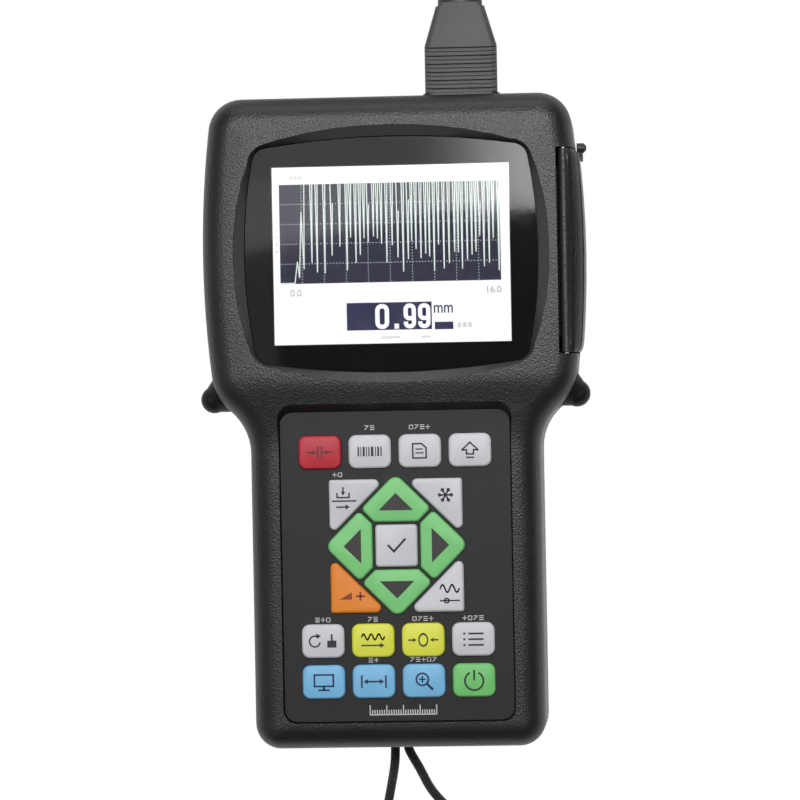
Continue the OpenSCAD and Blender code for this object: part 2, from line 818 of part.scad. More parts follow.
// Corner points and corner radii of each key shape, pointing up before its turn
function key_shape(kind) =
    kind == "plain" ? [box_corners(key_w, key_h), [key_r, key_r, key_r, key_r]] :
    kind == "enter" ? [box_corners(enter_w, enter_w), [1, 1, 1, 1]] :
    kind == "arrow" ? let (
            foot_y = enter_w / 2 + block_gap,
            foot_x = foot_y - arrow_slant,
            wide_x = (arrow_reach - arrow_slant) / 2,
            wide_y = (arrow_reach + arrow_slant) / 2
        )
        [[[0, arrow_reach], [wide_x, wide_y], [foot_x, foot_y], [-foot_x, foot_y], [-wide_x, wide_y]],
            [2.8, 1.5, 0.8, 0.8, 1.5]] :
    let (c = block_w / 2, tip = corner_reach - block_w / 2)
    [[[-tip, c], [-c, tip], [-c, c]], [1.5, 1.5, 0.8]];

function clockwise(p) = let (
        area = [for (i = [0:len(p) - 1]) cross(p[i], p[(i + 1) % len(p)])],
        total = area * [for (a = area) 1]
    )
    total < 0;

// A key's outline, moved inward by d
function key_outline(kind, d) = let (s = key_shape(kind))
    clockwise(s[0]) ? rounded(s[0], s[1], d)
    : rounded([s[0][0], s[0][2], s[0][1]], [s[1][0], s[1][2], s[1][1]], d);

module at_key(k) {
    translate([k[3].x, k[3].y, 0])
        rotate([0, 0, k[2]])
            children();
}

module key(k) {
    lip_top = panel_z - lip_gap;
    face_z = panel_top_z + key_rise;
    color(k[4])
        at_key(k) {
            translate([0, 0, lip_top - lip_t])
                linear_extrude(lip_t)
                    polygon(key_outline(k[1], -key_lip));
            loft([
                lift(key_outline(k[1], 0), lip_top - lip_t / 2),
                lift(key_outline(k[1], 0), face_z - key_chamfer),
                lift(key_outline(k[1], key_chamfer), face_z)
            ]);
        }
}

module keypad_panel() {
    color("slategray")
        difference() {
            plate(pad_w, pad_h, pad_r, panel_z, panel_top_z, [0, pad_y]);
            for (k = KEYS)
                at_key(k)
                    translate([0, 0, panel_z - 1])
                        linear_extrude(panel_t + 2)
                            polygon(key_outline(k[1], -key_clear));
        }
}

module key_mat() {
    dome_d = 7;
    dome_h = 1.2;
    color("gray")
        difference() {
            plate(pad_w - pad_ledge_w, pad_h - pad_ledge_w, pad_r, ceiling_z - mat_t, ceiling_z, [0, pad_y]);
            for (k = KEYS)
                at_key(k)
                    translate([
                        k[1] == "corner" ? -block_w / 2 + 6 : 0,
                        k[1] == "arrow" ? enter_w / 2 + 6.5 : k[1] == "corner" ? block_w / 2 - 6 : 0,
                        ceiling_z - mat_t - 1
                    ])
                        cylinder(d = dome_d, h = dome_h + 1);
        }
}

module keypad_board() {
    color("darkgreen")
        plate(pad_w - pad_ledge_w, pad_h - pad_ledge_w, 2, ceiling_z - mat_t - board_t, ceiling_z - mat_t,
            [0, pad_y]);
}

module main_board() {
    board_w = 2 * min(lower_half - 1, port_board_x - port_board_t - 1);
    board_low = bat_y - bat_h / 2;
    board_high = top_y - end_wall - socket_back - board_space;
    board_h = board_high - board_low;
    board_y = (board_low + board_high) / 2;
    chip_z = tub_top_z + board_t - 0.2;
    color("darkgreen")
        difference() {
            union() {
                plate(board_w, board_h, 2, tub_top_z, tub_top_z + board_t, [0, board_y]);
                plate(24, 24, 1, chip_z, chip_z + 2, [-14, window_y - 8]);
                plate(14, 18, 1, chip_z, chip_z + 1.6, [16, window_y - 4]);
                plate(30, 22, 1, chip_z, chip_z + chip_t, [plug_x - 4, top_y - 34]);
                plate(20, 10, 1, chip_z, chip_z + 3, [-20, bat_y]);
            }
            for (s = SCREWS)
                translate([s.x, s.y, tub_top_z - 1])
                    cylinder(d = boss_d + 4 * seat_gap, h = board_t + 2);
        }
}

module battery_pack() {
    color("royalblue")
        plate(bat_w, bat_h, 6, bat_z, bat_z + bat_d, [0, bat_y]);
}

module battery_cover() {
    grip_n = 5;
    color("dimgray")
        difference() {
            plate(cover_w, cover_h, cover_r - cover_gap, cover_gap, bat_z, [0, bat_y]);
            for (s = COVER_SCREWS)
                translate([s.x, s.y, -1]) {
                    cylinder(d = cover_screw_d + 2 * fit_gap, h = bat_z + 2);
                    cylinder(d = cover_head_d + 2 * fit_gap, h = 1 + cover_gap + cover_head_t);
                }
            for (i = [0:grip_n - 1])
                plate(cover_w - 16, 1.6, 0.7, -1, cover_gap + 0.8, [0, bat_y - tub_h / 2 + 6 + 4 * i]);
        }
}

module cover_screws() {
    color("silver")
        for (s = COVER_SCREWS)
            translate([s.x, s.y, cover_gap]) {
                difference() {
                    cylinder(d = cover_head_d, h = cover_head_t);
                    translate([0, 0, -1])
                        cylinder(d = cover_head_d * 0.5, h = 1 + cover_head_t / 2, $fn = 6);
                }
                cylinder(d = cover_screw_d, h = cover_screw_len);
            }
}

// Place of the body's bowed side at y
function side_x(y) = side_c.x + sqrt(pow(side_r, 2) - pow(y - side_c.y, 2));

// How far the door stands out at a distance from its nearer end
function stand_out(e) = door_proud * sqrt(1 - pow(1 - min(e / door_round, 1), 2));

// Section of the door at a distance along it: the skin up from the free edge, the hinge barrel and the lining
function door_section(along) = let (
        y = door_y - door_len / 2 + along,
        bow = side_x(y) + stand_out(min(along, door_len - along)),
        foot_x = bow - draft * (door_z - parting_z) / (body_d - edge_r - parting_z),
        c = [bow - draft - edge_r, body_d - edge_r],
        inner_r = edge_r - door_t,
        skin_a = acos((hinge_x - c.x) / edge_r),
        lining_a = acos(min((hinge_x + lining_end - c.x) / inner_r, 0.98)) / (1 - door_edge_end),
        skin = concat([[foot_x, door_z]],
            [for (p = DOOR_EDGE) c + (edge_r - p[1]) * dir(skin_a * (1 - p[0]))]),
        barrel = [for (i = [0:9])
            [hinge_x, hinge_z] + barrel_d / 2 * dir(barrel_a[0] + (barrel_a[1] - barrel_a[0]) * i / 9)],
        lining = concat([[foot_x - door_t, door_z]],
            [for (p = DOOR_EDGE) c + inner_r * dir(lining_a * (1 - p[0]))])
    )
    [for (p = concat(skin, barrel, [for (i = [len(lining) - 1:-1:0]) lining[i]])) [p.x, y, p.y]];

module side_door() {
    y0 = door_y - door_len / 2;
    y1 = door_y + door_len / 2;
    wall_x = side_x(y1) - draft * (tab_z - parting_z) / (body_d - edge_r - parting_z);
    tab_x = wall_x + fit_gap;
    tab_len = tab_out - tab_tip - fit_gap;
    color("dimgray")
        difference() {
            union() {
                loft([for (along = door_stations) door_section(along)], true);
                block_x(tab_x + running_gap, wall_x + tab_root, y1 + (tab_reach - tab_hold) / 2, tab_z,
                    tab_reach + tab_hold, tab_d - 2 * fit_gap);
                translate([tab_x, y1 + tab_past, tab_z])
                    rotate([0, 90, 0]) {
                        cylinder(d = tab_d, h = tab_len);
                        translate([0, 0, tab_len])
                            cylinder(d1 = tab_d, d2 = tab_d - 2 * tab_tip, h = tab_tip);
                    }
            }
            rod_y(hinge_pin_d + 2 * running_gap, hinge_x, hinge_z, y0 - 1, y1 + 1);
        }
}

module door_hinge_pin() {
    reach = pin_reach - 0.2;
    color("silver")
        rod_y(hinge_pin_d, hinge_x, hinge_z, door_y - door_len / 2 - reach, door_y + door_len / 2 + reach);
}

module door_seal() {
    color("black")
        difference() {
            block_x(bay_x, bay_x + seal_t, door_y, port_z, seal_w, seal_h);
            block_x(bay_x - 1, bay_x + seal_t + 1, door_y, port_z, seal_w - 2 * seal_band, seal_h - 2 * seal_band);
        }
}

module port_board() {
    color("darkgreen")
        block_x(port_board_x - port_board_t, port_board_x, door_y, port_z, port_board_w, port_board_h);
}

module usb_socket() {
    color("silver")
        difference() {
            block_x(port_board_x, bay_x + port_proud, usb_y, port_z, usb.x, usb.y);
            difference() {
                block_x(port_board_x + usb_wall, bay_x + 5, usb_y, port_z,
                    usb.x - 2 * usb_wall, usb.y - 2 * usb_wall);
                block_x(port_board_x, bay_x - 0.4, usb_y, port_z - 0.3, usb.x - 3.4, 1);
            }
        }
}

module card_slot() {
    color("silver")
        difference() {
            block_x(port_board_x, bay_x + port_proud, card_y, port_z, card.x, card.y);
            block_x(port_board_x + card_wall, bay_x + 5, card_y, port_z,
                card.x - 4 * card_wall, card.y - 2 * card_wall);
        }
}

module strap_post(side) {
    color("black")
        on_hip(side) {
            translate([0, 0, -post_shank])
                cylinder(d = post_shank_d, h = post_shank + post_head_z);
            cylinder(d1 = post_skirt_d, d2 = post_skirt_top_d, h = post_skirt_h);
            intersection() {
                translate([0, 0, post_head_z])
                    sphere(d = post_d);
                translate([0, 0, post_skirt_h / 2])
                    cylinder(d = post_d + 1, h = post_d);
            }
        }
}

module strap_post_left() {
    strap_post(-1);
}

module strap_post_right() {
    strap_post(1);
}

module probe_socket(side) {
    x = plug_x + side * socket_pitch / 2;
    inner_y = top_y - end_wall;
    color("silver")
        difference() {
            union() {
                rod_y(socket_d, x, socket_z, inner_y - socket_back, socket_face_y);
                translate([x, inner_y, socket_z])
                    rotate([90, 0, 0])
                        cylinder(d = socket_nut_d, h = socket_nut_t, $fn = 6);
            }
            rod_y(plug_pin_d + 4 * running_gap, x, socket_z, socket_face_y - pin_len - 0.5, socket_face_y + 1);
        }
}

module probe_socket_1() {
    probe_socket(-1);
}

module probe_socket_2() {
    probe_socket(1);
}

module power_jack() {
    face_y = top_y - jack_sink;
    color("black")
        difference() {
            rod_y(jack_d, -jack_x, socket_z, top_y - end_wall - socket_back, face_y);
            difference() {
                rod_y(jack_bore_d, -jack_x, socket_z, face_y - jack_depth, face_y + 1);
                rod_y(jack_pin_d, -jack_x, socket_z, face_y - jack_depth - 1, face_y - 0.6);
            }
        }
}

module strap_anchor() {
    seat_y = heel_y + anchor_sink;
    color("black")
        difference() {
            union() {
                anchor_hole(anchor_flange, seat_y - anchor_flange_t, seat_y);
                anchor_hole(0, seat_y - anchor_flange_t, seat_y - anchor_flange_t + anchor_len);
            }
            for (s = [-1, 1])
                rod_y(eyelet_d, anchor_x + s * eyelet_pitch / 2, anchor_z, heel_y - 5, heel_y + 10);
        }
}

module strap_cord() {
    color("black")
        tube(STRAP_ROUTE, strap_d / 2, 8);
}

function plug_ring(w, t, y, r = 2) =
    [for (p = rounded(box_corners(w, t), r)) [plug_x - p.x, y, socket_z + p.y]];

module probe_plug() {
    pitch = grip_h / (groove_n + 0.5);
    color("gray")
        difference() {
            union() {
                loft([plug_ring(grip_w, grip_t, plug_face_y), plug_ring(grip_w, grip_t, taper_y),
                    plug_ring(taper_top_w, taper_top_t, collar_y)]);
                loft([plug_ring(taper_top_w - 1.4, taper_top_t - 1.4, collar_y - 1),
                    plug_ring(taper_top_w - 1.4, taper_top_t - 1.4, collar_y + collar_h)]);
            }
            for (i = [0:groove_n - 1], s = [0, 1])
                let (deep = i % 2 == 0 ? groove_deep : groove_shallow)
                translate([
                    plug_x - grip_w / 2 + groove_side,
                    plug_face_y + pitch * (i + 0.5),
                    s == 0 ? socket_z + grip_t / 2 - deep : socket_z - grip_t / 2 - 1
                ])
                    cube([grip_w - 2 * groove_side, groove_w, deep + 1]);
        }
}

module plug_pins() {
    color("goldenrod")
        for (s = [-1, 1])
            rod_y(plug_pin_d, plug_x + s * socket_pitch / 2, socket_z, socket_face_y - pin_len, plug_face_y);
}

// Oval sleeve that narrows towards the cable, with notches around it
module bend_relief() {
    steps = 2 * boot_rings;
    color("dimgray")
        difference() {
            loft([for (k = [0:steps], side = [0, 1])
                let (
                    t = k / steps,
                    notch = k % 2 == 1 && k < steps ? boot_notch : 1,
                    size = boot_base + (boot_tip - boot_base) * t,
                    y = collar_y + collar_h + boot_len * min((k + 0.94 * side) / steps, 1)
                )
                if (k < steps || side == 0)
                    [for (i = [0:15])
                        [plug_x - size.x * notch * cos(22.5 * i), y, socket_z + size.y * notch * sin(22.5 * i)]]]);
            rod_y(cable_d + 2 * running_gap, plug_x, socket_z, CABLE_ROUTE[0].y, boot_end_y + 1);
        }
}

module probe_cable() {
    color("black")
        tube(CABLE_ROUTE, cable_d / 2, 10);
}

module cable_coil() {
    half = coil_across * cable_d / 2;
    shoulder = half - cable_d / 2;
    color("black")
        translate([coil_c.x, coil_c.y, coil_z])
            rotate_extrude($fn = 96)
                polygon([
                    [coil_mid_r - half, 0], [coil_mid_r + half, 0],
                    [coil_mid_r + half, 0.7 * cable_d], [coil_mid_r + shoulder, coil_h],
                    [coil_mid_r - shoulder, coil_h], [coil_mid_r - half, 0.7 * cable_d]
                ]);
}

module coil_tie() {
    half = coil_across * cable_d / 2;
    outer = half + fit_gap;
    inner = coil_mid_r - sqrt(pow(coil_mid_r - half, 2) - pow(tie_w / 2, 2)) + fit_gap;
    color("black")
        translate([coil_c.x - coil_mid_r, coil_c.y, 0])
            difference() {
                translate([-outer - tie_t, -tie_w / 2, 0])
                    cube([outer + inner + 2 * tie_t, tie_w, coil_z + coil_h + fit_gap + tie_t]);
                translate([-outer, -tie_w / 2 - 1, coil_z])
                    cube([outer + inner, tie_w + 2, coil_h + fit_gap]);
            }
}

module probe_lead() {
    color("black")
        tube(LEAD_ROUTE, cable_d / 2, 10);
}

module probe_body() {
    r = probe_d / 2;
    color("darkgray")
        translate([probe_at.x, probe_at.y, r])
            rotate([0, 90, 0])
                rotate_extrude()
                    polygon([
                        [0, 0], [cable_d / 2 + 1, 0], [cable_d / 2 + 2, probe_boot], [r - 1, probe_boot],
                        [r, probe_boot + 1], [r, probe_boot + 6], [r - 0.6, probe_boot + 6.6],
                        [r - 0.6, probe_boot + 9], [r, probe_boot + 9.6], [r, probe_boot + probe_len - 1],
                        [r - 1, probe_boot + probe_len], [0, probe_boot + probe_len]
                    ]);
}

module probe_face() {
    color("tan")
        translate([probe_at.x + probe_boot + probe_len, probe_at.y, probe_d / 2])
            rotate([0, 90, 0])
                cylinder(d = probe_face_d, h = probe_face_t);
}

front_housing();
rear_housing();
housing_seal();
housing_screws();
display_window();
window_seal();
lcd_module();
keypad_panel();
key_mat();
keypad_board();
main_board();
battery_pack();
battery_cover();
cover_screws();
side_door();
door_hinge_pin();
door_seal();
port_board();
usb_socket();
card_slot();
strap_post_left();
strap_post_right();
probe_socket_1();
probe_socket_2();
power_jack();
strap_anchor();
strap_cord();
probe_plug();
plug_pins();
bend_relief();
probe_cable();
cable_coil();
coil_tie();
probe_lead();
probe_body();
probe_face();
for (k = KEYS)
    key(k);
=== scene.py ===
import math

import bpy
from mathutils import Matrix, Vector


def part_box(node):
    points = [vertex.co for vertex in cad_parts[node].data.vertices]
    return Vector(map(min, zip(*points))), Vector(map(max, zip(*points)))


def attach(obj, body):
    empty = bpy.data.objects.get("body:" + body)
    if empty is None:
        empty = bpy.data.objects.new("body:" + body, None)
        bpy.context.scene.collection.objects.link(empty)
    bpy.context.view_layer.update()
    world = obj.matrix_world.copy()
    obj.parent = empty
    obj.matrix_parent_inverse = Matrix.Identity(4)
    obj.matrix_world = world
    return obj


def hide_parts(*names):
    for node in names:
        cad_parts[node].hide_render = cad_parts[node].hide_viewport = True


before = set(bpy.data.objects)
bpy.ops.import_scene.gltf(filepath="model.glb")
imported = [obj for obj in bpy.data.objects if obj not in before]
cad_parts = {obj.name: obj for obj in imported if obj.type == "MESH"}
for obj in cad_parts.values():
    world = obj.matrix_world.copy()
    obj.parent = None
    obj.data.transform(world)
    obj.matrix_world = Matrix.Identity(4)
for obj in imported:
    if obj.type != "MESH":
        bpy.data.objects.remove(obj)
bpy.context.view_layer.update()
MM = 0.001
ROOT = "chassis"

# Camera: the point it looks at, its distance, its field of view, and how it leans and rolls
TARGET = Vector((1.0, 7.0, 20.0)) * MM
EYE_DISTANCE = 0.8
VIEW_ANGLE = math.radians(18.43)
YAW = math.radians(2.4)
ROLL = math.radians(1.07)


def add_camera():
    away = Vector((math.sin(YAW), 0, math.cos(YAW)))
    up = Vector((math.sin(ROLL), math.cos(ROLL), 0))
    right = up.cross(away).normalized()
    up = away.cross(right)
    data = bpy.data.cameras.new("camera")
    data.sensor_fit = "HORIZONTAL"
    data.angle = VIEW_ANGLE
    data.clip_start = 0.01
    cam = bpy.data.objects.new("camera", data)
    spot = TARGET + EYE_DISTANCE * away
    cam.matrix_world = Matrix((
        (right.x, up.x, away.x, spot.x),
        (right.y, up.y, away.y, spot.y),
        (right.z, up.z, away.z, spot.z),
        (0, 0, 0, 1)))
    bpy.context.collection.objects.link(cam)
    bpy.context.scene.camera = cam


def new_material(name):
    m = bpy.data.materials.new(name)
    m.use_nodes = True
    nt = m.node_tree
    return m, nt, nt.nodes["Principled BSDF"]


def link(nt, a, b):
    nt.links.new(a, b)


def node(nt, kind, **values):
    n = nt.nodes.new(kind)
    for k, v in values.items():
        if hasattr(n, k):
            setattr(n, k, v)
        else:
            n.inputs[k].default_value = v
    return n


def coords(nt):
    return nt.nodes.new("ShaderNodeTexCoord").outputs["Object"]


def shade(colour, k):
    return (colour[0] * k, colour[1] * k, colour[2] * k, 1)


def mixed(nt, factor, tint, colour):
    """One colour laid over another where the factor says so."""
    mix = nt.nodes.new("ShaderNodeMix")
    mix.data_type = "RGBA"
    link(nt, factor, mix.inputs["Factor"])
    link(nt, tint, mix.inputs["A"])
    mix.inputs["B"].default_value = (*colour, 1)
    return mix.outputs["Result"]


def emboss(nt, bsdf, height, strength, depth):
    """Fine relief; depth is in mm."""
    bumped = nt.nodes.new("ShaderNodeBump")
    bumped.inputs["Strength"].default_value = strength
    bumped.inputs["Distance"].default_value = depth * MM
    link(nt, height, bumped.inputs["Height"])
    link(nt, bumped.outputs["Normal"], bsdf.inputs["Normal"])


# The box that the sloping bevel around the window lies in, and the upward part of its normals: where the
# shell gets painted light
RIM_LOW, RIM_HIGH = (-0.05, 0.012, 0.0431), (0.05, 0.0968, 0.0459)
RIM_TILT, RIM_TILT_PLAY = 0.48, 0.4
# Sharpness of an edge where wear starts and where it is full
WEAR_FROM, WEAR_FULL = 0.53, 0.6
ROUGH_PLAY = 0.06


def paint_rim_light(nt, tint, colour):
    """Painted light: a lighter colour laid on the sloping bevel around the window."""
    geo = nt.nodes.new("ShaderNodeNewGeometry")
    place, facing = nt.nodes.new("ShaderNodeSeparateXYZ"), nt.nodes.new("ShaderNodeSeparateXYZ")
    link(nt, coords(nt), place.inputs["Vector"])
    link(nt, geo.outputs["True Normal"], facing.inputs["Vector"])
    tests = [(place.outputs[axis], (RIM_LOW[i] + RIM_HIGH[i]) / 2, (RIM_HIGH[i] - RIM_LOW[i]) / 2)
             for i, axis in enumerate("XYZ")]
    tests.append((facing.outputs["Z"], RIM_TILT, RIM_TILT_PLAY))
    inside = None
    for value, middle, play in tests:
        near = node(nt, "ShaderNodeMath", operation="COMPARE")
        link(nt, value, near.inputs[0])
        near.inputs[1].default_value = middle
        near.inputs[2].default_value = play
        if inside:
            both = node(nt, "ShaderNodeMath", operation="MULTIPLY")
            link(nt, inside, both.inputs[0])
            link(nt, near.outputs["Value"], both.inputs[1])
            inside = both.outputs["Value"]
        else:
            inside = near.outputs["Value"]
    return mixed(nt, inside, tint, colour)


def surface(name, colour, rough=0.5, vary=0.12, vary_scale=90, grain=None, grain_scale=900,
            bump=0.2, depth=0.06, metal=0.0, spec=0.5, wear=None, rim_light=None):
    """A moulded or turned finish: mottled colour, uneven gloss and a fine relief; it can also paint light on
    the window's sloping bevel.
    """
    m, nt, b = new_material(name)
    xyz = coords(nt)
    b.inputs["Metallic"].default_value = metal
    b.inputs["Specular IOR Level"].default_value = spec
    cloud = node(nt, "ShaderNodeTexNoise", Scale=vary_scale, Detail=4.0, Roughness=0.6)
    link(nt, xyz, cloud.inputs["Vector"])
    ramp = nt.nodes.new("ShaderNodeValToRGB")
    ramp.color_ramp.elements[0].position = 0.3
    ramp.color_ramp.elements[0].color = shade(colour, 1 - vary)
    ramp.color_ramp.elements[1].position = 0.7
    ramp.color_ramp.elements[1].color = shade(colour, 1 + vary)
    link(nt, cloud.outputs["Fac"], ramp.inputs["Fac"])
    tint = ramp.outputs["Color"]
    if wear:
        edge = nt.nodes.new("ShaderNodeNewGeometry")
        worn = nt.nodes.new("ShaderNodeMapRange")
        worn.inputs["From Min"].default_value = WEAR_FROM
        worn.inputs["From Max"].default_value = WEAR_FULL
        link(nt, edge.outputs["Pointiness"], worn.inputs["Value"])
        tint = mixed(nt, worn.outputs["Result"], tint, wear)
    # Painted light: the sloping bevel around the window is made lighter.
    if rim_light:
        tint = paint_rim_light(nt, tint, rim_light)
    link(nt, tint, b.inputs["Base Color"])
    gloss = nt.nodes.new("ShaderNodeMapRange")
    gloss.inputs["To Min"].default_value = rough - ROUGH_PLAY
    gloss.inputs["To Max"].default_value = rough + ROUGH_PLAY
    link(nt, cloud.outputs["Fac"], gloss.inputs["Value"])
    link(nt, gloss.outputs["Result"], b.inputs["Roughness"])
    if grain == "leather":
        cells = node(nt, "ShaderNodeTexVoronoi", feature="SMOOTH_F1", Scale=grain_scale)
        cells.inputs["Smoothness"].default_value = 0.6
        wobble = node(nt, "ShaderNodeTexNoise", Scale=grain_scale * 0.6, Detail=3.0)
        link(nt, xyz, wobble.inputs["Vector"])
        bend = nt.nodes.new("ShaderNodeMix")
        bend.data_type = "VECTOR"
        bend.inputs["Factor"].default_value = 0.0006
        link(nt, xyz, bend.inputs["A"])
        link(nt, wobble.outputs["Color"], bend.inputs["B"])
        link(nt, bend.outputs["Result"], cells.inputs["Vector"])
        relief = cells.outputs["Distance"]
    elif grain == "turned":
        rings = node(nt, "ShaderNodeTexWave", wave_type="BANDS", bands_direction="X", Scale=grain_scale)
        rings.inputs["Distortion"].default_value = 1.5
        link(nt, xyz, rings.inputs["Vector"])
        relief = rings.outputs["Fac"]
    else:
        fine = node(nt, "ShaderNodeTexNoise", Scale=grain_scale, Detail=3.0)
        link(nt, xyz, fine.inputs["Vector"])
        relief = fine.outputs["Fac"]
    emboss(nt, b, relief, bump, depth)
    return m


def braid(name, colour, across, pitch, depth):
    """Two sets of strands wound opposite ways; u goes once around and v runs along in metres."""
    m, nt, b = new_material(name)
    uv = nt.nodes.new("ShaderNodeTexCoord").outputs["UV"]
    split = nt.nodes.new("ShaderNodeSeparateXYZ")
    link(nt, uv, split.inputs["Vector"])

    def math_node(op, a, c):
        n = nt.nodes.new("ShaderNodeMath")
        n.operation = op
        for i, v in enumerate((a, c)):
            if isinstance(v, (int, float)):
                n.inputs[i].default_value = v
            else:
                link(nt, v, n.inputs[i])
        return n.outputs["Value"]

    around = math_node("MULTIPLY", split.outputs["X"], across)
    along = math_node("MULTIPLY", split.outputs["Y"], 1 / pitch)
    one = math_node("SINE", math_node("MULTIPLY", math_node("ADD", around, along), math.tau), 0)
    two = math_node("SINE", math_node("MULTIPLY", math_node("SUBTRACT", around, along), math.tau), 0)
    weave = math_node("MAXIMUM", one, two)
    ramp = nt.nodes.new("ShaderNodeMapRange")
    ramp.inputs["From Min"].default_value = -1
    link(nt, weave, ramp.inputs["Value"])
    # Painted shade and highlight: the colour is darker in the gaps between strands and lighter on their
    # crowns.
    mix = nt.nodes.new("ShaderNodeMix")
    mix.data_type = "RGBA"
    link(nt, ramp.outputs["Result"], mix.inputs["Factor"])
    mix.inputs["A"].default_value = shade(colour, 0.35)
    mix.inputs["B"].default_value = shade(colour, 1.3)
    link(nt, mix.outputs["Result"], b.inputs["Base Color"])
    b.inputs["Roughness"].default_value = 0.8
    b.inputs["Sheen Weight"].default_value = 0.2
    emboss(nt, b, ramp.outputs["Result"], 0.8, depth)
    return m


def glow(name, colour, strength, vary=0.03, scale=300):
    """A lit picture element with the faint unevenness of a back-lit panel."""
    m, nt, b = new_material(name)
    cloud = node(nt, "ShaderNodeTexNoise", Scale=scale, Detail=2.0)
    link(nt, coords(nt), cloud.inputs["Vector"])
    ramp = nt.nodes.new("ShaderNodeValToRGB")
    ramp.color_ramp.elements[0].color = shade(colour, 1 - vary)
    ramp.color_ramp.elements[1].color = shade(colour, 1 + vary)
    link(nt, cloud.outputs["Fac"], ramp.inputs["Fac"])
    b.inputs["Base Color"].default_value = (0.0, 0.0, 0.0, 1)
    b.inputs["Roughness"].default_value = 0.6
    link(nt, ramp.outputs["Color"], b.inputs["Emission Color"])
    b.inputs["Emission Strength"].default_value = strength
    return m


def clear_glass(name):
    """The window, with faint smears in its polish."""
    m, nt, b = new_material(name)
    b.inputs["Base Color"].default_value = (0.97, 0.98, 0.98, 1)
    b.inputs["Transmission Weight"].default_value = 1.0
    b.inputs["IOR"].default_value = 1.48
    smear = node(nt, "ShaderNodeTexNoise", Scale=45.0, Detail=3.0)
    link(nt, coords(nt), smear.inputs["Vector"])
    haze = nt.nodes.new("ShaderNodeMapRange")
    haze.inputs["To Min"].default_value = 0.0
    haze.inputs["To Max"].default_value = 0.08
    link(nt, smear.outputs["Fac"], haze.inputs["Value"])
    link(nt, haze.outputs["Result"], b.inputs["Roughness"])
    return m


def key_finish(name, colour, rough, vary, spec=0.5):
    """Satin rubber of a key cap."""
    return surface(name, colour, rough, vary, 200, None, 1500, 0.12, 0.03, spec=spec)


def ink(name, colour, vary=0.2):
    """Printed ink, a little uneven."""
    return surface(name, colour, 0.5, vary, 900)


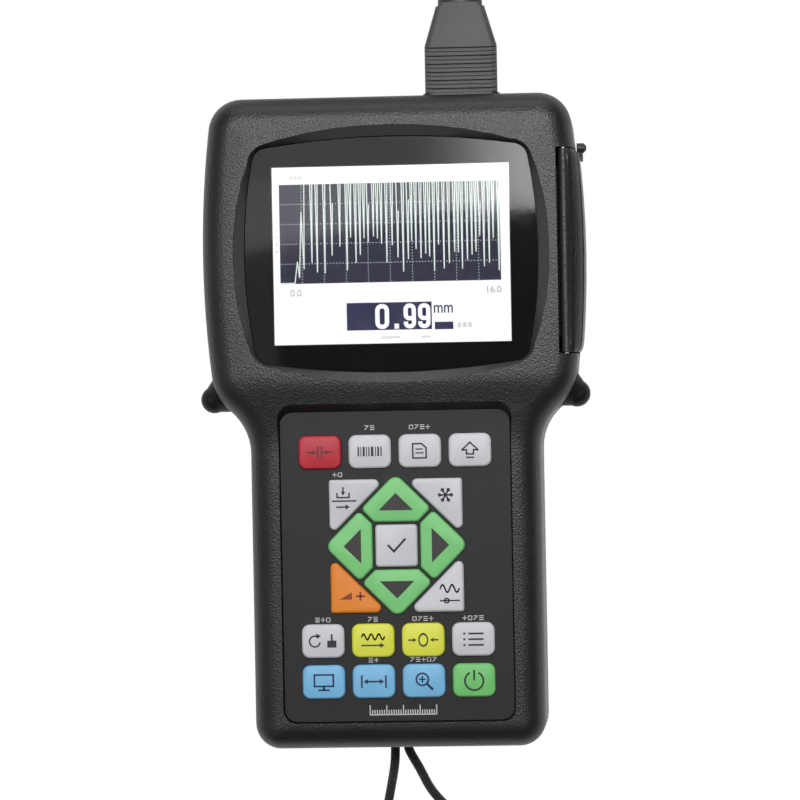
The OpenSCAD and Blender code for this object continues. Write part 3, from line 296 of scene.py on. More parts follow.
MAT = {
    # The shell's lighter colour on the window's sloping bevel is painted light.
    "shell": surface("shell", (0.0115, 0.0114, 0.0125), 0.41, 0.16, 60, "leather", 1700, 0.85, 0.11,
                     spec=0.55, wear=(0.022, 0.022, 0.024), rim_light=(0.064, 0.064, 0.068)),
    "post": surface("post", (0.006, 0.006, 0.0065), 0.5, 0.15, 150, None, 1400, 0.2, 0.05, spec=0.3),
    "seal": surface("seal", (0.012, 0.012, 0.012), 0.65, 0.2, 200),
    "steel": surface("steel", (0.55, 0.55, 0.56), 0.32, 0.08, 300, "turned", 1500, 0.15, 0.03, metal=1.0),
    "panel": surface("panel", (0.0125, 0.0124, 0.0138), 0.55, 0.12, 120, None, 1800, 0.25, 0.04, spec=0.4),
    "mat": surface("mat", (0.3, 0.3, 0.3), 0.6, 0.1, 200),
    "board": surface("board", (0.015, 0.12, 0.045), 0.35, 0.2, 500, None, 900, 0.25, 0.05),
    "battery": surface("battery", (0.03, 0.09, 0.3), 0.3, 0.1, 150, None, 300, 0.15, 0.08),
    "plated": surface("plated", (0.62, 0.61, 0.58), 0.25, 0.06, 300, None, 900, 0.1, 0.02, metal=1.0),
    "jack": surface("jack", (0.012, 0.012, 0.012), 0.35, 0.2, 300),
    "plug": surface("plug", (0.08, 0.08, 0.087), 0.5, 0.22, 110, None, 700, 0.35, 0.08, spec=0.4),
    "boot": surface("boot", (0.04, 0.04, 0.043), 0.45, 0.2, 120, None, 900, 0.25, 0.05),
    "brass": surface("brass", (0.72, 0.52, 0.2), 0.28, 0.08, 300, "turned", 1500, 0.1, 0.02, metal=1.0),
    "cable": surface("cable", (0.016, 0.016, 0.017), 0.5, 0.15, 150, None, 1200, 0.2, 0.04),
    "tie": surface("tie", (0.02, 0.02, 0.022), 0.9, 0.35, 900, None, 2500, 0.8, 0.25),
    "probe": surface("probe", (0.5, 0.5, 0.51), 0.3, 0.08, 200, "turned", 900, 0.2, 0.04, metal=1.0),
    "wear": surface("wear", (0.36, 0.27, 0.13), 0.4, 0.15, 300),
    "screen": surface("screen", (0.02, 0.02, 0.022), 0.35, 0.1, 200),
    "mask": surface("mask", (0.0025, 0.0025, 0.003), 0.5, 0.1, 200, spec=0.05),
    "braid": braid("braid", (0.018, 0.018, 0.019), 6, 0.004, 0.25),
    "key_white": key_finish("key_white", (0.65, 0.645, 0.69), 0.42, 0.03),
    "key_red": key_finish("key_red", (0.53, 0.03, 0.05), 0.4, 0.06, spec=0.3),
    "key_green": key_finish("key_green", (0.215, 0.64, 0.215), 0.4, 0.04, spec=0.4),
    "key_power": key_finish("key_power", (0.175, 0.6, 0.17), 0.4, 0.04),
    "key_orange": key_finish("key_orange", (0.83, 0.25, 0.025), 0.4, 0.04, spec=0.3),
    "key_yellow": key_finish("key_yellow", (0.78, 0.81, 0.064), 0.4, 0.04),
    "key_blue": key_finish("key_blue", (0.2, 0.52, 0.82), 0.4, 0.04),
    "ink_dark": ink("ink_dark", (0.02, 0.019, 0.024)),
    "ink_red": ink("ink_red", (0.12, 0.01, 0.012)),
    "ink_rust": ink("ink_rust", (0.28, 0.03, 0.01)),
    "ink_olive": ink("ink_olive", (0.05, 0.055, 0.01)),
    "ink_navy": ink("ink_navy", (0.012, 0.03, 0.11)),
    "ink_green": ink("ink_green", (0.006, 0.045, 0.012)),
    "ink_brown": ink("ink_brown", (0.028, 0.022, 0.022)),
    "ink_white": ink("ink_white", (0.62, 0.62, 0.63), 0.15),
    "glass": clear_glass("glass"),
    "lit_white": glow("lit_white", (0.97, 0.97, 1.0), 1.12),
    "lit_navy": glow("lit_navy", (0.012, 0.011, 0.035), 1.0, 0.3),
    "lit_box": glow("lit_box", (0.018, 0.016, 0.07), 1.0, 0.2),
    "lit_trace": glow("lit_trace", (0.83, 0.92, 0.88), 1.0, 0.12, 900),
    "lit_dot": glow("lit_dot", (0.7, 0.72, 0.78), 0.9),
    "lit_grey": glow("lit_grey", (0.42, 0.42, 0.45), 1.0),
    "lit_faint": glow("lit_faint", (0.72, 0.72, 0.74), 1.0),
}
# Finish of each node; a key that isn't named is white, any other node is cable
LOOK = {
    "front_housing": "shell", "rear_housing": "shell", "battery_cover": "shell", "side_door": "shell",
    "strap_post_left": "post", "strap_post_right": "post", "strap_anchor": "post",
    "housing_seal": "seal", "window_seal": "seal", "door_seal": "seal",
    "housing_screws": "steel", "cover_screws": "steel", "door_hinge_pin": "steel",
    "display_window": "glass", "lcd_module": "screen", "keypad_panel": "panel", "key_mat": "mat",
    "keypad_board": "board", "main_board": "board", "port_board": "board", "battery_pack": "battery",
    "usb_socket": "plated", "card_slot": "plated", "probe_socket_1": "plated", "probe_socket_2": "plated",
    "power_jack": "jack", "probe_plug": "plug", "plug_pins": "brass", "bend_relief": "boot",
    "coil_tie": "tie", "probe_body": "probe", "probe_face": "wear",
}
KEY_LOOK = {
    "key_row1_1": "key_red", "key_row2_2": "key_yellow", "key_row2_3": "key_yellow",
    "key_row3_1": "key_blue", "key_row3_2": "key_blue", "key_row3_3": "key_blue", "key_row3_4": "key_power",
    "key_up": "key_green", "key_left": "key_green", "key_down": "key_green", "key_right": "key_green",
    "key_corner_2": "key_orange",
}
WELD_REACH, KEY_EDGE = 0.01 * MM, 0.22 * MM
SOFT_ANGLE, CRISP_ANGLE = math.radians(25), math.radians(32)


def dress_nodes():
    """Finish and shading of every part that comes from the frame."""
    for name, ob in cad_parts.items():
        look = LOOK.get(name) or KEY_LOOK.get(name) or ("key_white" if name.startswith("key_") else "cable")
        ob.data.materials.clear()
        ob.data.materials.append(MAT[look])
        for p in ob.data.polygons:
            p.use_smooth = True
        weld = ob.modifiers.new("weld", "WELD")
        weld.merge_threshold = WELD_REACH
        if name.startswith("key_") and name != "key_mat":
            soft = ob.modifiers.new("soft_edges", "BEVEL")
            soft.width = KEY_EDGE
            soft.segments = 2
            soft.limit_method = "ANGLE"
            soft.angle_limit = SOFT_ANGLE
        split = ob.modifiers.new("crisp_edges", "EDGE_SPLIT")
        split.split_angle = CRISP_ANGLE


def add(ob, body):
    bpy.context.collection.objects.link(ob)
    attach(ob, body)
    return ob


def smooth_route(points, parts):
    """Catmull-Rom points through a route given in mm, in metres."""
    p = [Vector(q) for q in points]
    p = [2 * p[0] - p[1]] + p + [2 * p[-1] - p[-2]]
    out = []
    for i in range(1, len(p) - 2):
        for k in range(parts):
            t = k / parts
            a, b, c, d = p[i - 1], p[i], p[i + 1], p[i + 2]
            q = 0.5 * (2 * b + (c - a) * t + (2 * a - 5 * b + 4 * c - d) * t * t
                       + (3 * b - a - 3 * c + d) * t ** 3)
            out.append(q * MM)
    out.append(p[-2] * MM)
    return out


CORD_SIDES, ROUTE_PARTS = 16, 3


def tube(name, path, radius, material):
    """A closed round tube along a path, with u once around and v along in metres."""
    verts, faces, uvs, along = [], [], [], []
    run, n, sides = 0.0, len(path), CORD_SIDES
    for k, q in enumerate(path):
        if k:
            run += (q - path[k - 1]).length
        along.append(run)
        t = (path[min(k + 1, n - 1)] - path[max(k - 1, 0)]).normalized()
        side = t.cross(Vector((0, 0, 1))).normalized()
        up = side.cross(t)
        for i in range(sides):
            a = math.tau * i / sides
            verts.append(q + radius * (math.cos(a) * side + math.sin(a) * up))
    for k in range(n - 1):
        for i in range(sides):
            j = (i + 1) % sides
            faces.append((k * sides + i, k * sides + j, (k + 1) * sides + j, (k + 1) * sides + i))
            u0, u1 = i / sides, (i + 1) / sides
            uvs += [(u0, along[k]), (u1, along[k]), (u1, along[k + 1]), (u0, along[k + 1])]
    faces.append(tuple(range(sides - 1, -1, -1)))
    faces.append(tuple((n - 1) * sides + i for i in range(sides)))
    uvs += [(0.5, 0.0)] * (2 * sides)
    me = bpy.data.meshes.new(name)
    me.from_pydata([tuple(v) for v in verts], [], faces)
    layer = me.uv_layers.new(name="UVMap")
    for i, uv in enumerate(uvs):
        layer.data[i].uv = uv
    for p in me.polygons:
        p.use_smooth = len(p.vertices) == 4
    me.materials.append(MAT[material])
    return add(bpy.data.objects.new(name, me), ROOT)


# Centre lines of the cords in mm, as in the part's source
CABLE_ROUTE = [
    (22.9, 157, 24), (22.9, 164, 24), (22.9, 171, 23.5), (22.7, 177, 22), (22.3, 183, 19),
    (21.5, 189, 15), (20.2, 195, 11), (18.2, 201, 7.5), (15.2, 207, 5), (11, 212, 3.4),
    (5.5, 215.6, 2.8), (-1, 217.2, 2.75), (-8, 217.4, 2.75), (-16, 217.4, 2.75), (-24, 217.4, 2.75)]
LEAD_ROUTE = [
    (-24, 152.8, 6.6), (-16, 152.9, 6.5), (-8, 153.4, 6.5), (0, 154.6, 6.8),
    (7, 156.4, 7.4), (13, 157.7, 8.1), (19.8, 158, 8.5)]
STRAP_ROUTE = [
    (-3.1, -102.5, 9), (-3.1, -106.5, 9), (-3.2, -110, 8.4), (-3.5, -113, 6.9), (-4, -116, 5),
    (-4.6, -119, 3.2), (-5.3, -122.5, 2), (-6.2, -127, 1.6), (-7.2, -133, 1.6), (-8.4, -142, 1.6),
    (-8.6, -151, 1.6), (-7, -160, 1.6), (-3, -168, 1.6), (3.5, -174, 1.6), (12, -176.5, 1.6),
    (20.5, -174.5, 1.6), (27, -169, 1.6), (30.5, -161, 1.6), (31, -152, 1.6), (29, -143.5, 1.6),
    (24, -137, 1.6), (17.6, -131.4, 1.6), (12.3, -127, 1.6), (9.5, -123.9, 1.8),
    (7.5, -120.9, 2.5), (5.9, -117.5, 3.9), (4.4, -114.2, 5.6), (2.9, -111.2, 7.3),
    (1.7, -108.7, 8.5), (1.1, -106.5, 9), (1.1, -102.5, 9)]


def coil_turns(d=4.5, centre=(-24, 184), r0=26.7, low=2.75, high=6.65, per_turn=24):
    """Lower layer wound inwards, a climb, then the upper layer wound outwards."""
    outer, inner = r0 + 1.5 * d, r0 - 1.5 * d
    route = []
    for k in range(1, 3 * per_turn + 1):
        route.append((90 + 360 * k / per_turn, outer - d * k / per_turn, low))
    climb = int(0.75 * per_turn)
    for k in range(1, climb + 1):
        s = k / climb
        route.append((90 + 270 * s, inner + 0.5 * d * s, low + (high - low) * s * s * (3 - 2 * s)))
    for k in range(1, int(2.75 * per_turn) + 1):
        turn = k / per_turn
        route.append((360 * turn, min(inner + 0.5 * d + d * turn, r0 + d), high))
    return [(centre[0] + r * math.cos(math.radians(a)), centre[1] + r * math.sin(math.radians(a)), z)
            for a, r, z in route]


def add_cords():
    path = smooth_route(CABLE_ROUTE + coil_turns() + LEAD_ROUTE[1:], ROUTE_PARTS)
    cable = tube("probe_cord", path, 2.25 * MM, "cable")
    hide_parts("probe_cable", "cable_coil", "probe_lead")
    path = smooth_route(STRAP_ROUTE, ROUTE_PARTS)
    strap = tube("strap_loop", path, 1.5 * MM, "braid")
    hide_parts("strap_cord")


def stroke(points, w, closed=False):
    """Quads along a line of points; w is its width."""
    p = [Vector(q).to_2d() for q in points]
    if closed:
        p.append(p[0])
    quads = []
    for a, b in zip(p, p[1:]):
        t = (b - a).normalized()
        a, b = a - t * w * 0.35, b + t * w * 0.35
        s = Vector((-t.y, t.x)) * w / 2
        quads.append([a - s, b - s, b + s, a + s])
    return quads


def bow(c, r, a0, a1, n=24):
    """Points of an arc, angles in degrees."""
    return [(c[0] + r * math.cos(math.radians(a0 + (a1 - a0) * i / n)),
             c[1] + r * math.sin(math.radians(a0 + (a1 - a0) * i / n))) for i in range(n + 1)]


def ring(c, r, w, a0=0, a1=360, n=24):
    out = []
    inner, outer = bow(c, r - w / 2, a0, a1, n), bow(c, r + w / 2, a0, a1, n)
    for i in range(n):
        out.append([Vector(q) for q in (inner[i], outer[i], outer[i + 1], inner[i + 1])])
    return out


def rect(x0, y0, x1, y1):
    return [[Vector(q) for q in ((x0, y0), (x1, y0), (x1, y1), (x0, y1))]]


def shape(*points):
    return [[Vector(q) for q in points]]


def arrow(a, b, w, head):
    """A line with a solid head at b."""
    a, b = Vector(a), Vector(b)
    t = (b - a).normalized()
    s = Vector((-t.y, t.x))
    neck = b - t * head
    return stroke([a, neck], w) + [[b, neck + s * head * 0.6, neck - s * head * 0.6]]


def wave(x0, x1, y, height, cycles, w):
    n = int(14 * cycles)
    return stroke([(x0 + (x1 - x0) * i / n, y + height * math.sin(math.tau * cycles * i / n))
                   for i in range(n + 1)], w)


# How far a print reaches into what carries it, in mm
PRINT_ROOT = 0.05


def print_on(name, body, polys, at, z, material, stand=0.03):
    """A thin printed mark of polygons given in mm around a point, with a little thickness."""
    verts, faces = [], []
    for poly in polys:
        area = sum(a.x * b.y - b.x * a.y for a, b in zip(poly, poly[1:] + poly[:1]))
        pts = poly if area > 0 else poly[::-1]
        top, low, n = len(verts), len(verts) + len(pts), len(pts)
        verts += [((at[0] + p.x) * MM, (at[1] + p.y) * MM, (z + stand) * MM) for p in pts]
        verts += [((at[0] + p.x) * MM, (at[1] + p.y) * MM, (z - PRINT_ROOT) * MM) for p in pts]
        faces.append(tuple(range(top, top + n)))
        faces.append(tuple(range(low + n - 1, low - 1, -1)))
        for i in range(n):
            j = (i + 1) % n
            faces.append((top + j, top + i, low + i, low + j))
    me = bpy.data.meshes.new(name)
    me.from_pydata(verts, [], faces)
    me.materials.append(MAT[material])
    return add(bpy.data.objects.new(name, me), body)


def key_symbols():
    """Ink and pictogram of each key, in mm around the key's middle."""
    bars = [(0, 0.5), (0.9, 0.3), (1.6, 0.7), (2.7, 0.3), (3.4, 0.4),
            (4.2, 0.8), (5.5, 0.3), (6.2, 0.6), (7.2, 0.4)]
    w = 0.5
    page = stroke([(-2.2, 2.2), (0.6, 2.2), (2.0, 0.9), (2.0, -2.3), (-2.2, -2.3)], w, True)
    flake = []
    for a in (0, 60, 120):
        c, s = math.cos(math.radians(a)), math.sin(math.radians(a))
        flake += stroke([(2.3 * c, 2.3 * s), (-2.3 * c, -2.3 * s)], w)
    for a in range(0, 360, 60):
        c, s = math.cos(math.radians(a)), math.sin(math.radians(a))
        for side in (-35, 35):
            e = math.radians(a + side)
            twig = (1.3 * c + 0.8 * math.cos(e), 1.3 * s + 0.8 * math.sin(e))
            flake += stroke([(1.3 * c, 1.3 * s), twig], 0.4)
    return {
        "key_row1_1": ("ink_red", stroke([(-0.6, -1.8), (-0.6, 1.8)], w)
                       + stroke([(0.6, -1.8), (0.6, 1.8)], w)
                       + arrow((-4, 0), (-0.9, 0), w, 1.3) + arrow((4, 0), (0.9, 0), w, 1.3)),
        "key_row1_2": ("ink_dark", [q for x, t in bars for q in rect(x - 3.8, -1.5, x - 3.8 + t, 1.5)]),
        "key_row1_3": ("ink_dark", page + stroke([(-1.2, 0.5), (0.8, 0.5)], 0.4)
                       + stroke([(-1.2, -0.7), (1.1, -0.7)], 0.4)),
        "key_row1_4": ("ink_dark", stroke([(0, 2.4), (2.5, 0), (1.1, 0), (1.1, -1.3),
                                           (-1.1, -1.3), (-1.1, 0), (-2.5, 0)], w, True)
                       + stroke([(-1.1, -2.4), (1.1, -2.4)], w)),
        "key_enter": ("ink_dark", stroke([(-2.6, 0.1), (-0.8, -1.8), (2.7, 2.0)], 0.7)),
        "key_corner_1": ("ink_dark", arrow((-3.4, 5.4), (-3.4, 2.9), w, 1.2)
                         + stroke([(-5.3, 3.6), (-5.3, 2.3), (-1.5, 2.3), (-1.5, 3.6)], w)
                         + stroke([(-6.8, 1.2), (0.6, 1.2)], w) + arrow((-5.5, -0.7), (-1.3, -0.7), w, 1.4)),
        "key_corner_4": ("ink_dark", [[q + Vector((2.6, 2.6)) for q in poly] for poly in flake]),
        "key_corner_2": ("ink_rust", shape((-5.2, -3.6), (-1.2, -3.6), (-1.2, -1.4))
                         + stroke([(0.3, -2.6), (2.7, -2.6)], 0.6)
                         + stroke([(1.5, -3.8), (1.5, -1.4)], 0.6)),
        "key_corner_3": ("ink_dark", wave(0.4, 6.4, -0.6, 1.2, 2, w)
                         + stroke([(0.4, -4.4), (6.4, -4.4)], 0.45)
                         + ring((2.4, -4.4), 0.7, 0.5, n=16)),
        "key_row2_1": ("ink_dark", ring((-2.6, 0), 1.7, w, 60, 350)
                       + shape((-2.2, 2.5), (-0.6, 1.7), (-2.0, 0.8))
                       + rect(1.3, -2.0, 4.2, 0.2) + stroke([(2.75, 0.2), (2.75, 2.0)], 0.6)),
        "key_row2_2": ("ink_olive", wave(-3.6, 3.6, 1.2, 0.9, 3, w)
                       + arrow((-3.6, -1.5), (3.6, -1.5), w, 1.4)),
        "key_row2_3": ("ink_olive", [[Vector((q.x * 0.72, q.y)) for q in poly]
                                     for poly in ring((0, 0), 1.9, 0.65)]
                       + arrow((-4.6, 0), (-2.1, 0), w, 1.1) + arrow((4.6, 0), (2.1, 0), w, 1.1)),
        "key_row2_4": ("ink_dark", [q for y in (1.8, 0, -1.8)
                                    for q in (rect(-3.2, y - 0.3, -2.5, y + 0.3)
                                              + rect(-1.6, y - 0.28, 3.2, y + 0.28))]),
        "key_row3_1": ("ink_navy", stroke([(-3, -1.3), (3, -1.3), (3, 2.3), (-3, 2.3)], 0.55, True)
                       + stroke([(0, -1.5), (0, -2.4)], 0.7) + stroke([(-1.6, -2.5), (1.6, -2.5)], 0.55)),
        "key_row3_2": ("ink_navy", stroke([(-3.8, -1.8), (-3.8, 1.8)], 0.55)
                       + stroke([(3.8, -1.8), (3.8, 1.8)], 0.55)
                       + arrow((0, 0), (-3.3, 0), 0.55, 1.4) + arrow((0, 0), (3.3, 0), 0.55, 1.4)),
        "key_row3_3": ("ink_navy", ring((-0.5, 0.5), 1.9, 0.6) + stroke([(0.95, -0.95), (2.6, -2.6)], 0.8)
                       + stroke([(-1.4, 0.5), (0.4, 0.5)], 0.5) + stroke([(-0.5, -0.4), (-0.5, 1.4)], 0.5)),
        "key_row3_4": ("ink_green", ring((0, -0.2), 2.9, 0.62, 118, 422, 40)
                       + stroke([(0, 0.2), (0, 3.0)], 0.62)),
    }


# Distance of the arrow heads from the middle of the key block, and the head's outline
ARROW_REACH = 13.9
ARROW_HEAD = [(0, 2.75), (5.45, -2.75), (-5.45, -2.75)]


def middle_of(name):
    """Middle of a node's box in mm, seen from above."""
    lo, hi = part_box(name)
    return (lo.x + hi.x) / 2 / MM, (lo.y + hi.y) / 2 / MM


def add_key_marks():
    for name, (tone, polys) in key_symbols().items():
        print_on("mark_" + name, name + "_body", polys, middle_of(name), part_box(name)[1].z / MM, tone)
    turns = {"key_up": 0, "key_left": 90, "key_down": 180, "key_right": 270}
    for name, a in turns.items():
        c, s = math.cos(math.radians(a)), math.sin(math.radians(a))
        pts = [(x * c - (y + ARROW_REACH) * s, x * s + (y + ARROW_REACH) * c) for x, y in ARROW_HEAD]
        print_on("mark_" + name, name + "_body", shape(*pts), middle_of("key_enter"),
                 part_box(name)[1].z / MM, "ink_brown")


# Plain signs that stand for small captions; each starts at x
SIGN_W, SIGN_PITCH = 0.26, 1.75
SIGNS = [
    lambda x: stroke([(x, -0.6), (x + 1.2, 0.6)], SIGN_W) + stroke([(x, 0.6), (x + 1.2, 0.6)], SIGN_W),
    lambda x: stroke([(x, -0.6), (x + 1.1, -0.6), (x + 1.1, 0.6), (x, 0.6)], SIGN_W, True),
    lambda x: stroke([(x, 0), (x + 1.2, 0)], SIGN_W) + stroke([(x + 0.6, -0.65), (x + 0.6, 0.65)], SIGN_W),
    lambda x: [q for y in (0.6, 0, -0.6) for q in stroke([(x, y), (x + 1.2, y)], SIGN_W)],
]
# Key, offset from its middle in mm, number of signs
SIGN_SPOTS = [
    ("key_row1_2", 0, 7.5, 2), ("key_row1_3", 0, 7.5, 4), ("key_row1_1", 5.4, -7.2, 2),
    ("key_row2_1", 0, 6.6, 3), ("key_row2_2", 0, 6.6, 2), ("key_row2_3", 0, 6.6, 4),
    ("key_row2_4", 0, 6.6, 4), ("key_row3_2", 0, 6.6, 2), ("key_row3_3", 0, 6.6, 5)]
# Ruler in mm: half its length, its base line, where its middle is, and its ticks
RULER_HALF, RULER_BASE, RULER_X, RULER_RISE = 10.5, -1.6, 1.2, 3.6
TICKS, TICKS_PER_MARK, TICK_STEP, TICK_HALF = 29, 7, 0.75, 0.17


def add_panel_marks():
    """Small plain signs beside the keys, and a ruler where a name plate would be."""
    lo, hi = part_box("keypad_panel")
    z = hi.z / MM
    for n, (key, dx, dy, count) in enumerate(SIGN_SPOTS):
        x, y = middle_of(key)
        polys = []
        for i in range(count):
            polys += SIGNS[(i * 3 + n) % 4]((i - count / 2) * SIGN_PITCH + 0.25)
        print_on(f"sign_{n + 1}", ROOT, polys, (x + dx, y + dy), z, "ink_white", 0.02)
    ticks = stroke([(-RULER_HALF, RULER_BASE), (RULER_HALF, RULER_BASE)], 0.4)
    for i in range(TICKS):
        tall = 3.0 if i % TICKS_PER_MARK == 0 else 1.5
        x = -RULER_HALF + TICK_STEP * i
        ticks += rect(x - TICK_HALF, RULER_BASE, x + TICK_HALF, RULER_BASE + tall)
    print_on("ruler_mark", ROOT, ticks, (RULER_X, lo.y / MM + RULER_RISE), z, "ink_white", 0.02)


def flat_text(name, text, at, size, narrow, bold, material, z):
    """Figures that end at a point, sizes in mm."""
    data = bpy.data.curves.new(name, "FONT")
    data.body = text
    data.size = size * MM
    data.offset = bold * MM
    data.align_x = "RIGHT"
    data.align_y = "BOTTOM"
    data.materials.append(MAT[material])
    ob = bpy.data.objects.new(name, data)
    ob.location = (at[0] * MM, at[1] * MM, z * MM)
    ob.scale = (narrow, 1, 1)
    add(ob, ROOT)


def seeded(k):
    """A fixed number from 0 to 1 for each k."""
    x = math.sin(k * 12.9898 + 4.1414) * 43758.5453
    return x - math.floor(x)


# Spacing of the first and of the later echoes, half the width of an echo and its line's width, in mm
ECHO_FIRST, ECHO_LATER, ECHO_HALF, ECHO_LINE = 2.1, 1.45, 0.33, 0.34


def echo_trace(w, h):
    """A row of narrow echoes that run off the top of the picture."""
    first = [(0, 0.2), (4.6, 0.2), (5.5, 0.22 * h), (6.1, 0.06 * h),
             (6.9, 0.72 * h), (7.6, 0.15 * h), (7.95, h)]
    polys = stroke(first, 0.32)
    x, k = 7.6, 0
    while x < w - 2.2:
        k += 1
        x += (ECHO_FIRST if x < 0.3 * w else ECHO_LATER) * (0.78 + 0.44 * seeded(k))
        deep = 0.1 + 0.4 * seeded(k + 200)
        peak = 1.0 if seeded(k + 77) > 0.2 else 0.7 + 0.2 * seeded(k + 50)
        polys += stroke([(x - ECHO_HALF, h), (x, deep * h), (x + ECHO_HALF, peak * h)], ECHO_LINE)
    return polys


def ribbon(points, w, closed=False):
    """Quads of one width along a line of points, with the corners joined."""
    p = [Vector(q) for q in points]
    n = len(p)
    pairs = []
    for i in range(n):
        a = p[i - 1] if closed or i else p[i]
        b = p[(i + 1) % n] if closed or i < n - 1 else p[i]
        t = (b - a).normalized()
        s = Vector((-t.y, t.x)) * w / 2
        pairs.append((p[i] - s, p[i] + s))
    return [[pairs[i][0], pairs[(i + 1) % n][0], pairs[(i + 1) % n][1], pairs[i][1]]
            for i in range(n if closed else n - 1)]


def digit_frame(x, y, w, h, t):
    """Corner radius of a figure's centre line and the middles of its corners; t is the line's width."""
    r = 0.44 * (w - t)
    return r, x + t / 2 + r, x + w - t / 2 - r, y + t / 2 + r, y + h - t / 2 - r


def corner(x, y, r, start):
    return bow((x, y), r, start, start + 90, 6)


def nought(x, y, w, h, t):
    r, left, right, low, top = digit_frame(x, y, w, h, t)
    return ribbon(corner(right, top, r, 0) + corner(left, top, r, 90)
                  + corner(left, low, r, 180) + corner(right, low, r, 270), t, True)


def nine(x, y, w, h, t):
    r, left, right, low, top = digit_frame(x, y, w, h, t)
    waist = y + 0.41 * h
    return ribbon([(left - r, y + 0.28 * h)] + corner(left, low, r, 180) + corner(right, low, r, 270)
                  + corner(right, top, r, 0) + corner(left, top, r, 90)
                  + corner(left, waist + r, r, 180) + [(right + r, waist)], t)


PICTURE_W, PICTURE_H = 74.9, 56.2
# Height of each printed layer of the picture over the panel, in mm
FIELD_Z, GRID_Z, VALUE_Z, TRACE_Z = 0.05, 0.08, 0.09, 0.1
DOT_HALF, DOTS_ACROSS, DOTS_DOWN = 0.15, 72, 33


def add_display():
    """The lit picture; places on it are shares of its width and height from the upper left."""
    lo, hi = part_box("lcd_module")
    z = hi.z / MM
    w, h = PICTURE_W, PICTURE_H
    cy = (lo.y + hi.y) / 2 / MM
    x0, y1 = -w / 2, cy + h / 2

    def fx(f):
        return x0 + f * w

    def fy(f):
        return y1 - f * h

    def field(left, low, right, top):
        return rect(fx(left), fy(low), fx(right), fy(top))

    def dot(x, y):
        return rect(x - DOT_HALF, y - DOT_HALF, x + DOT_HALF, y + DOT_HALF)

    print_on("picture", ROOT, rect(-w / 2, -h / 2, w / 2, h / 2), (0, cy), z, "lit_white", 0.02)
    plot = (fx(0.029), fy(0.656), fx(0.961), fy(0.097))
    print_on("picture_plot", ROOT, rect(*plot), (0, 0), z + FIELD_Z, "lit_navy", 0.02)
    pw, ph = plot[2] - plot[0], plot[3] - plot[1]
    dots = []
    for i in range(1, 10):
        for j in range(DOTS_DOWN):
            dots += dot(pw * i / 10, ph * (j + 0.5) / DOTS_DOWN)
    for j in range(1, 5):
        for i in range(DOTS_ACROSS):
            dots += dot(pw * (i + 0.5) / DOTS_ACROSS, ph * j / 5)
    print_on("picture_grid", ROOT, dots, plot[:2], z + GRID_Z, "lit_dot", 0.01)
    print_on("picture_trace", ROOT, echo_trace(pw, ph), plot[:2], z + TRACE_Z, "lit_trace", 0.01)
    readout, flag = field(0.307, 0.925, 0.666, 0.77), field(0.678, 0.927, 0.756, 0.885)
    print_on("picture_readout", ROOT, readout, (0, 0), z + FIELD_Z, "lit_box", 0.02)
    print_on("picture_flag", ROOT, flag, (0, 0), z + FIELD_Z, "lit_box", 0.02)
    low, tall = fy(0.919), 0.14 * h
    value = (nought(fx(0.427), low, 4.4, tall, 1.4) + rect(fx(0.508), low, fx(0.527), low + 1.6)
             + nine(fx(0.547), low, 3.9, tall, 1.35) + nine(fx(0.608), low, 3.9, tall, 1.35))
    print_on("digits_value", ROOT, value, (0, 0), z + VALUE_Z, "lit_white", 0.01)
    flat_text("digits_unit", "mm", (fx(0.758), fy(0.852)), 5.2, 0.8, 0.05, "lit_box", z + FIELD_Z)
    flat_text("digits_start", "0.0", (fx(0.118), fy(0.737)), 3.0, 1.0, 0.0, "lit_grey", z + FIELD_Z)
    flat_text("digits_end", "16.0", (fx(0.962), fy(0.737)), 3.0, 1.0, 0.02, "lit_grey", z + FIELD_Z)
    small = []
    for i in range(3):
        small += field(0.075 + 0.018 * i, 0.068, 0.088 + 0.018 * i, 0.05)
    for i in range(4):
        small += field(0.012, 0.36 + 0.04 * i, 0.02, 0.345 + 0.04 * i)
    for i in range(3):
        small += field(0.775 + 0.022 * i, 0.918, 0.79 + 0.022 * i, 0.89)
    small += field(0.45, 0.972, 0.53, 0.962) + field(0.62, 0.972, 0.66, 0.962)
    print_on("picture_signs", ROOT, small, (0, 0), z + FIELD_Z, "lit_faint", 0.02)


def circles_meet(a, ra, b, rb):
    """The left one of the points where two circles cross, seen from a to b."""
    d = b - a
    u = d.normalized()
    x = (ra * ra - rb * rb + d.length_squared) / (2 * d.length)
    return a + u * x + Vector((-u.y, u.x)) * math.sqrt(ra * ra - x * x)


# The window's outline in mm: its sizes, how far its sides bow out and the radius of its corners
WINDOW_W, WINDOW_H, WINDOW_BULGE, WINDOW_CORNER = 92.6, 74.2, 3.6, 4.5
PRINT_INSET = 0.15
# Half sizes of the opening in the print, and its height over the window's underside
OPENING_X, OPENING_Y, MASK_Z = 37.7, 28.3, 0.08


def window_outline():
    """The barrel outline of the print under the window, in mm around its middle."""
    half_w, half_h, bulge, rc = WINDOW_W / 2, WINDOW_H / 2, WINDOW_BULGE, WINDOW_CORNER
    r_side = ((half_h - bulge) ** 2 + bulge ** 2) / (2 * bulge)
    r_end = ((half_w - bulge) ** 2 + bulge ** 2) / (2 * bulge)
    side, end = Vector((half_w - r_side, 0)), Vector((0, half_h - r_end))
    middle = circles_meet(side, r_side - rc, end, r_end - rc)
    a_end = math.degrees(math.atan2(middle.y - end.y, middle.x))
    a_side = math.degrees(math.atan2(middle.y, middle.x - side.x))
    q = bow(end, r_end - PRINT_INSET, 90, a_end, 10)
    q += bow(middle, rc - PRINT_INSET, a_end, a_side, 10)[1:]
    q += bow(side, r_side - PRINT_INSET, a_side, 0, 8)[1:]
    right = q + [(x, -y) for x, y in q[-2::-1]]
    return right + [(-x, y) for x, y in right[-2:0:-1]]


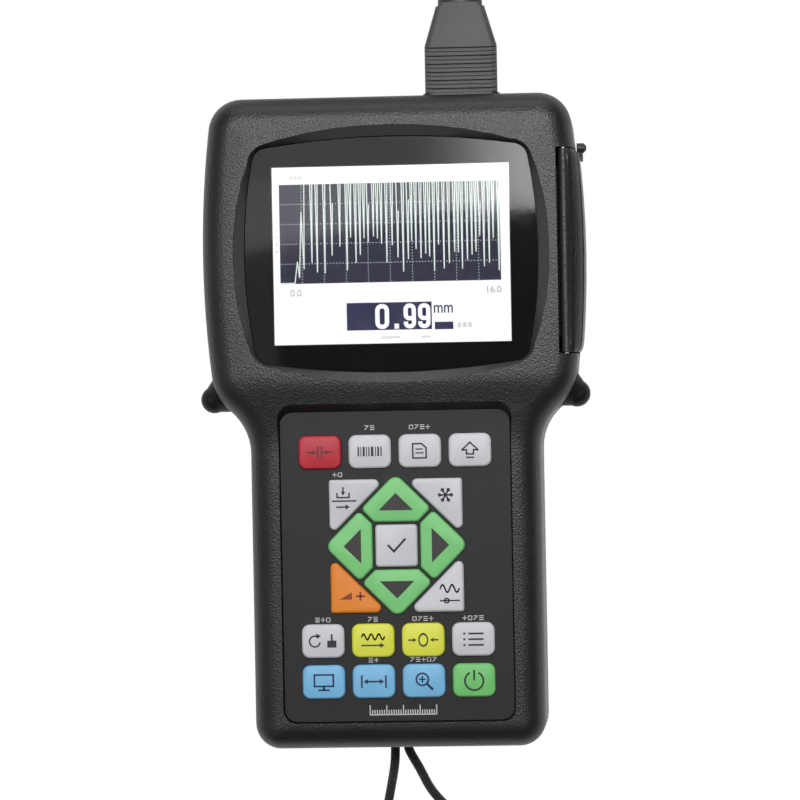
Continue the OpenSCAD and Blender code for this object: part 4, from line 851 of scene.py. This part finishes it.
def add_window_mask():
    """The dark print on the underside of the window, open over the picture."""
    lo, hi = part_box("display_window")
    cy = (lo.y + hi.y) / 2
    data = bpy.data.curves.new("window_print", "CURVE")
    data.dimensions = "2D"
    data.fill_mode = "BOTH"
    x, y = OPENING_X, OPENING_Y
    hole = [(-x, -y), (x, -y), (x, y), (-x, y)]
    for pts in (window_outline(), hole):
        sp = data.splines.new("POLY")
        sp.points.add(len(pts) - 1)
        for p, q in zip(sp.points, pts):
            p.co = (q[0] * MM, q[1] * MM, 0, 1)
        sp.use_cyclic_u = True
    data.materials.append(MAT["mask"])
    ob = bpy.data.objects.new("window_print", data)
    ob.location = (0, cy, lo.z + MASK_Z * MM)
    add(ob, ROOT)


FLOOR_HALF, FLOOR_DROP = 6, 0.3 * MM


def add_stage():
    """A floor that is white to the camera and catches soft light around the part."""
    me = bpy.data.meshes.new("floor")
    f = FLOOR_HALF
    me.from_pydata([(-f, -f, 0), (f, -f, 0), (f, f, 0), (-f, f, 0)], [], [(0, 1, 2, 3)])
    floor = bpy.data.objects.new("floor", me)
    floor.location.z = -FLOOR_DROP
    m, nt, b = new_material("floor")
    b.inputs["Base Color"].default_value = (0.82, 0.82, 0.82, 1)
    b.inputs["Roughness"].default_value = 0.9
    path = nt.nodes.new("ShaderNodeLightPath")
    one = nt.nodes.new("ShaderNodeMath")
    two = nt.nodes.new("ShaderNodeMath")
    one.operation = two.operation = "MAXIMUM"
    link(nt, path.outputs["Is Camera Ray"], one.inputs[0])
    link(nt, path.outputs["Is Glossy Ray"], one.inputs[1])
    link(nt, one.outputs["Value"], two.inputs[0])
    link(nt, path.outputs["Is Transmission Ray"], two.inputs[1])
    white = nt.nodes.new("ShaderNodeEmission")
    white.inputs["Color"].default_value = (1, 1, 1, 1)
    white.inputs["Strength"].default_value = 1.0
    mix = nt.nodes.new("ShaderNodeMixShader")
    link(nt, two.outputs["Value"], mix.inputs["Fac"])
    link(nt, b.outputs["BSDF"], mix.inputs[1])
    link(nt, white.outputs["Emission"], mix.inputs[2])
    link(nt, mix.outputs["Shader"], nt.nodes["Material Output"].inputs["Surface"])
    me.materials.append(m)
    bpy.context.collection.objects.link(floor)


def add_light(name, spot, aim, size, power, turn=0.0, fade=0.0):
    """A soft box; fade is the share of its width over which it brightens from nothing."""
    data = bpy.data.lights.new(name, "AREA")
    data.shape = "RECTANGLE"
    data.size, data.size_y = size
    data.energy = power
    if fade:
        data.use_nodes = True
        nt = data.node_tree
        geo = nt.nodes.new("ShaderNodeNewGeometry")
        split = nt.nodes.new("ShaderNodeSeparateXYZ")
        rise = node(nt, "ShaderNodeMapRange")
        rise.inputs["From Max"].default_value = fade
        curve = node(nt, "ShaderNodeMath", operation="POWER")
        curve.inputs[1].default_value = 2
        link(nt, geo.outputs["Parametric"], split.inputs["Vector"])
        link(nt, split.outputs["X"], rise.inputs["Value"])
        link(nt, rise.outputs["Result"], curve.inputs[0])
        link(nt, curve.outputs["Value"], nt.nodes["Emission"].inputs["Strength"])
    ob = bpy.data.objects.new(name, data)
    spot, aim = Vector(spot), Vector(aim)
    ob.location = spot
    ob.rotation_euler = (aim - spot).to_track_quat("-Z", "Y").to_euler()
    ob.rotation_euler.z += math.radians(turn)
    bpy.context.collection.objects.link(ob)


# Boxes that hang over the part and shine straight down: place, size, watts, turn in degrees, fade.
# Those that overlap hang at different heights, because in one plane they hide one another in the glass.
OVERHEAD = {
    "left_box": ((-0.228, 0.392, 1.5), (0.46, 0.5), 0.82, 11, 0.0),
    "right_box": ((0.195, 0.395, 1.52), (0.49, 0.43), 5.5, 0, 0.21),
    "upper_left": ((-0.24, 0.45, 1.48), (0.46, 0.32), 3, 0, 0.0),
    "upper_right": ((0.25, 0.45, 1.48), (0.48, 0.32), 5.5, 0, 0.0),
    "left_wing": ((-0.4, 0.06, 1.51), (0.46, 0.3), 0.15, 0, 0.0),
    "left_far": ((-0.43, 0.2, 1.49), (0.36, 0.4), 1.8, 0, 0.0),
}
PART_MIDDLE = (0, 0, 0.02)
WORLD_STRENGTH = 0.1


def add_lights():
    world = bpy.data.worlds.new("world")
    bpy.context.scene.world = world
    world.use_nodes = True
    back = world.node_tree.nodes["Background"]
    back.inputs["Color"].default_value = (1, 1, 1, 1)
    back.inputs["Strength"].default_value = WORLD_STRENGTH
    for name, (spot, size, power, turn, fade) in OVERHEAD.items():
        add_light(name, spot, (spot[0], spot[1], 0), size, power, turn, fade)
    add_light("back_light", (0.1, 2.2, 1.05), PART_MIDDLE, (1.8, 0.7), 15)
    add_light("side_light", (-1.5, -0.1, 1.1), PART_MIDDLE, (1.8, 1.6), 2.5)


view = bpy.context.scene.view_settings
view.view_transform = "Standard"
add_camera()
add_cords()
dress_nodes()
add_key_marks()
add_panel_marks()
add_display()
add_window_mask()
add_stage()
add_lights()
bpy.context.view_layer.update()
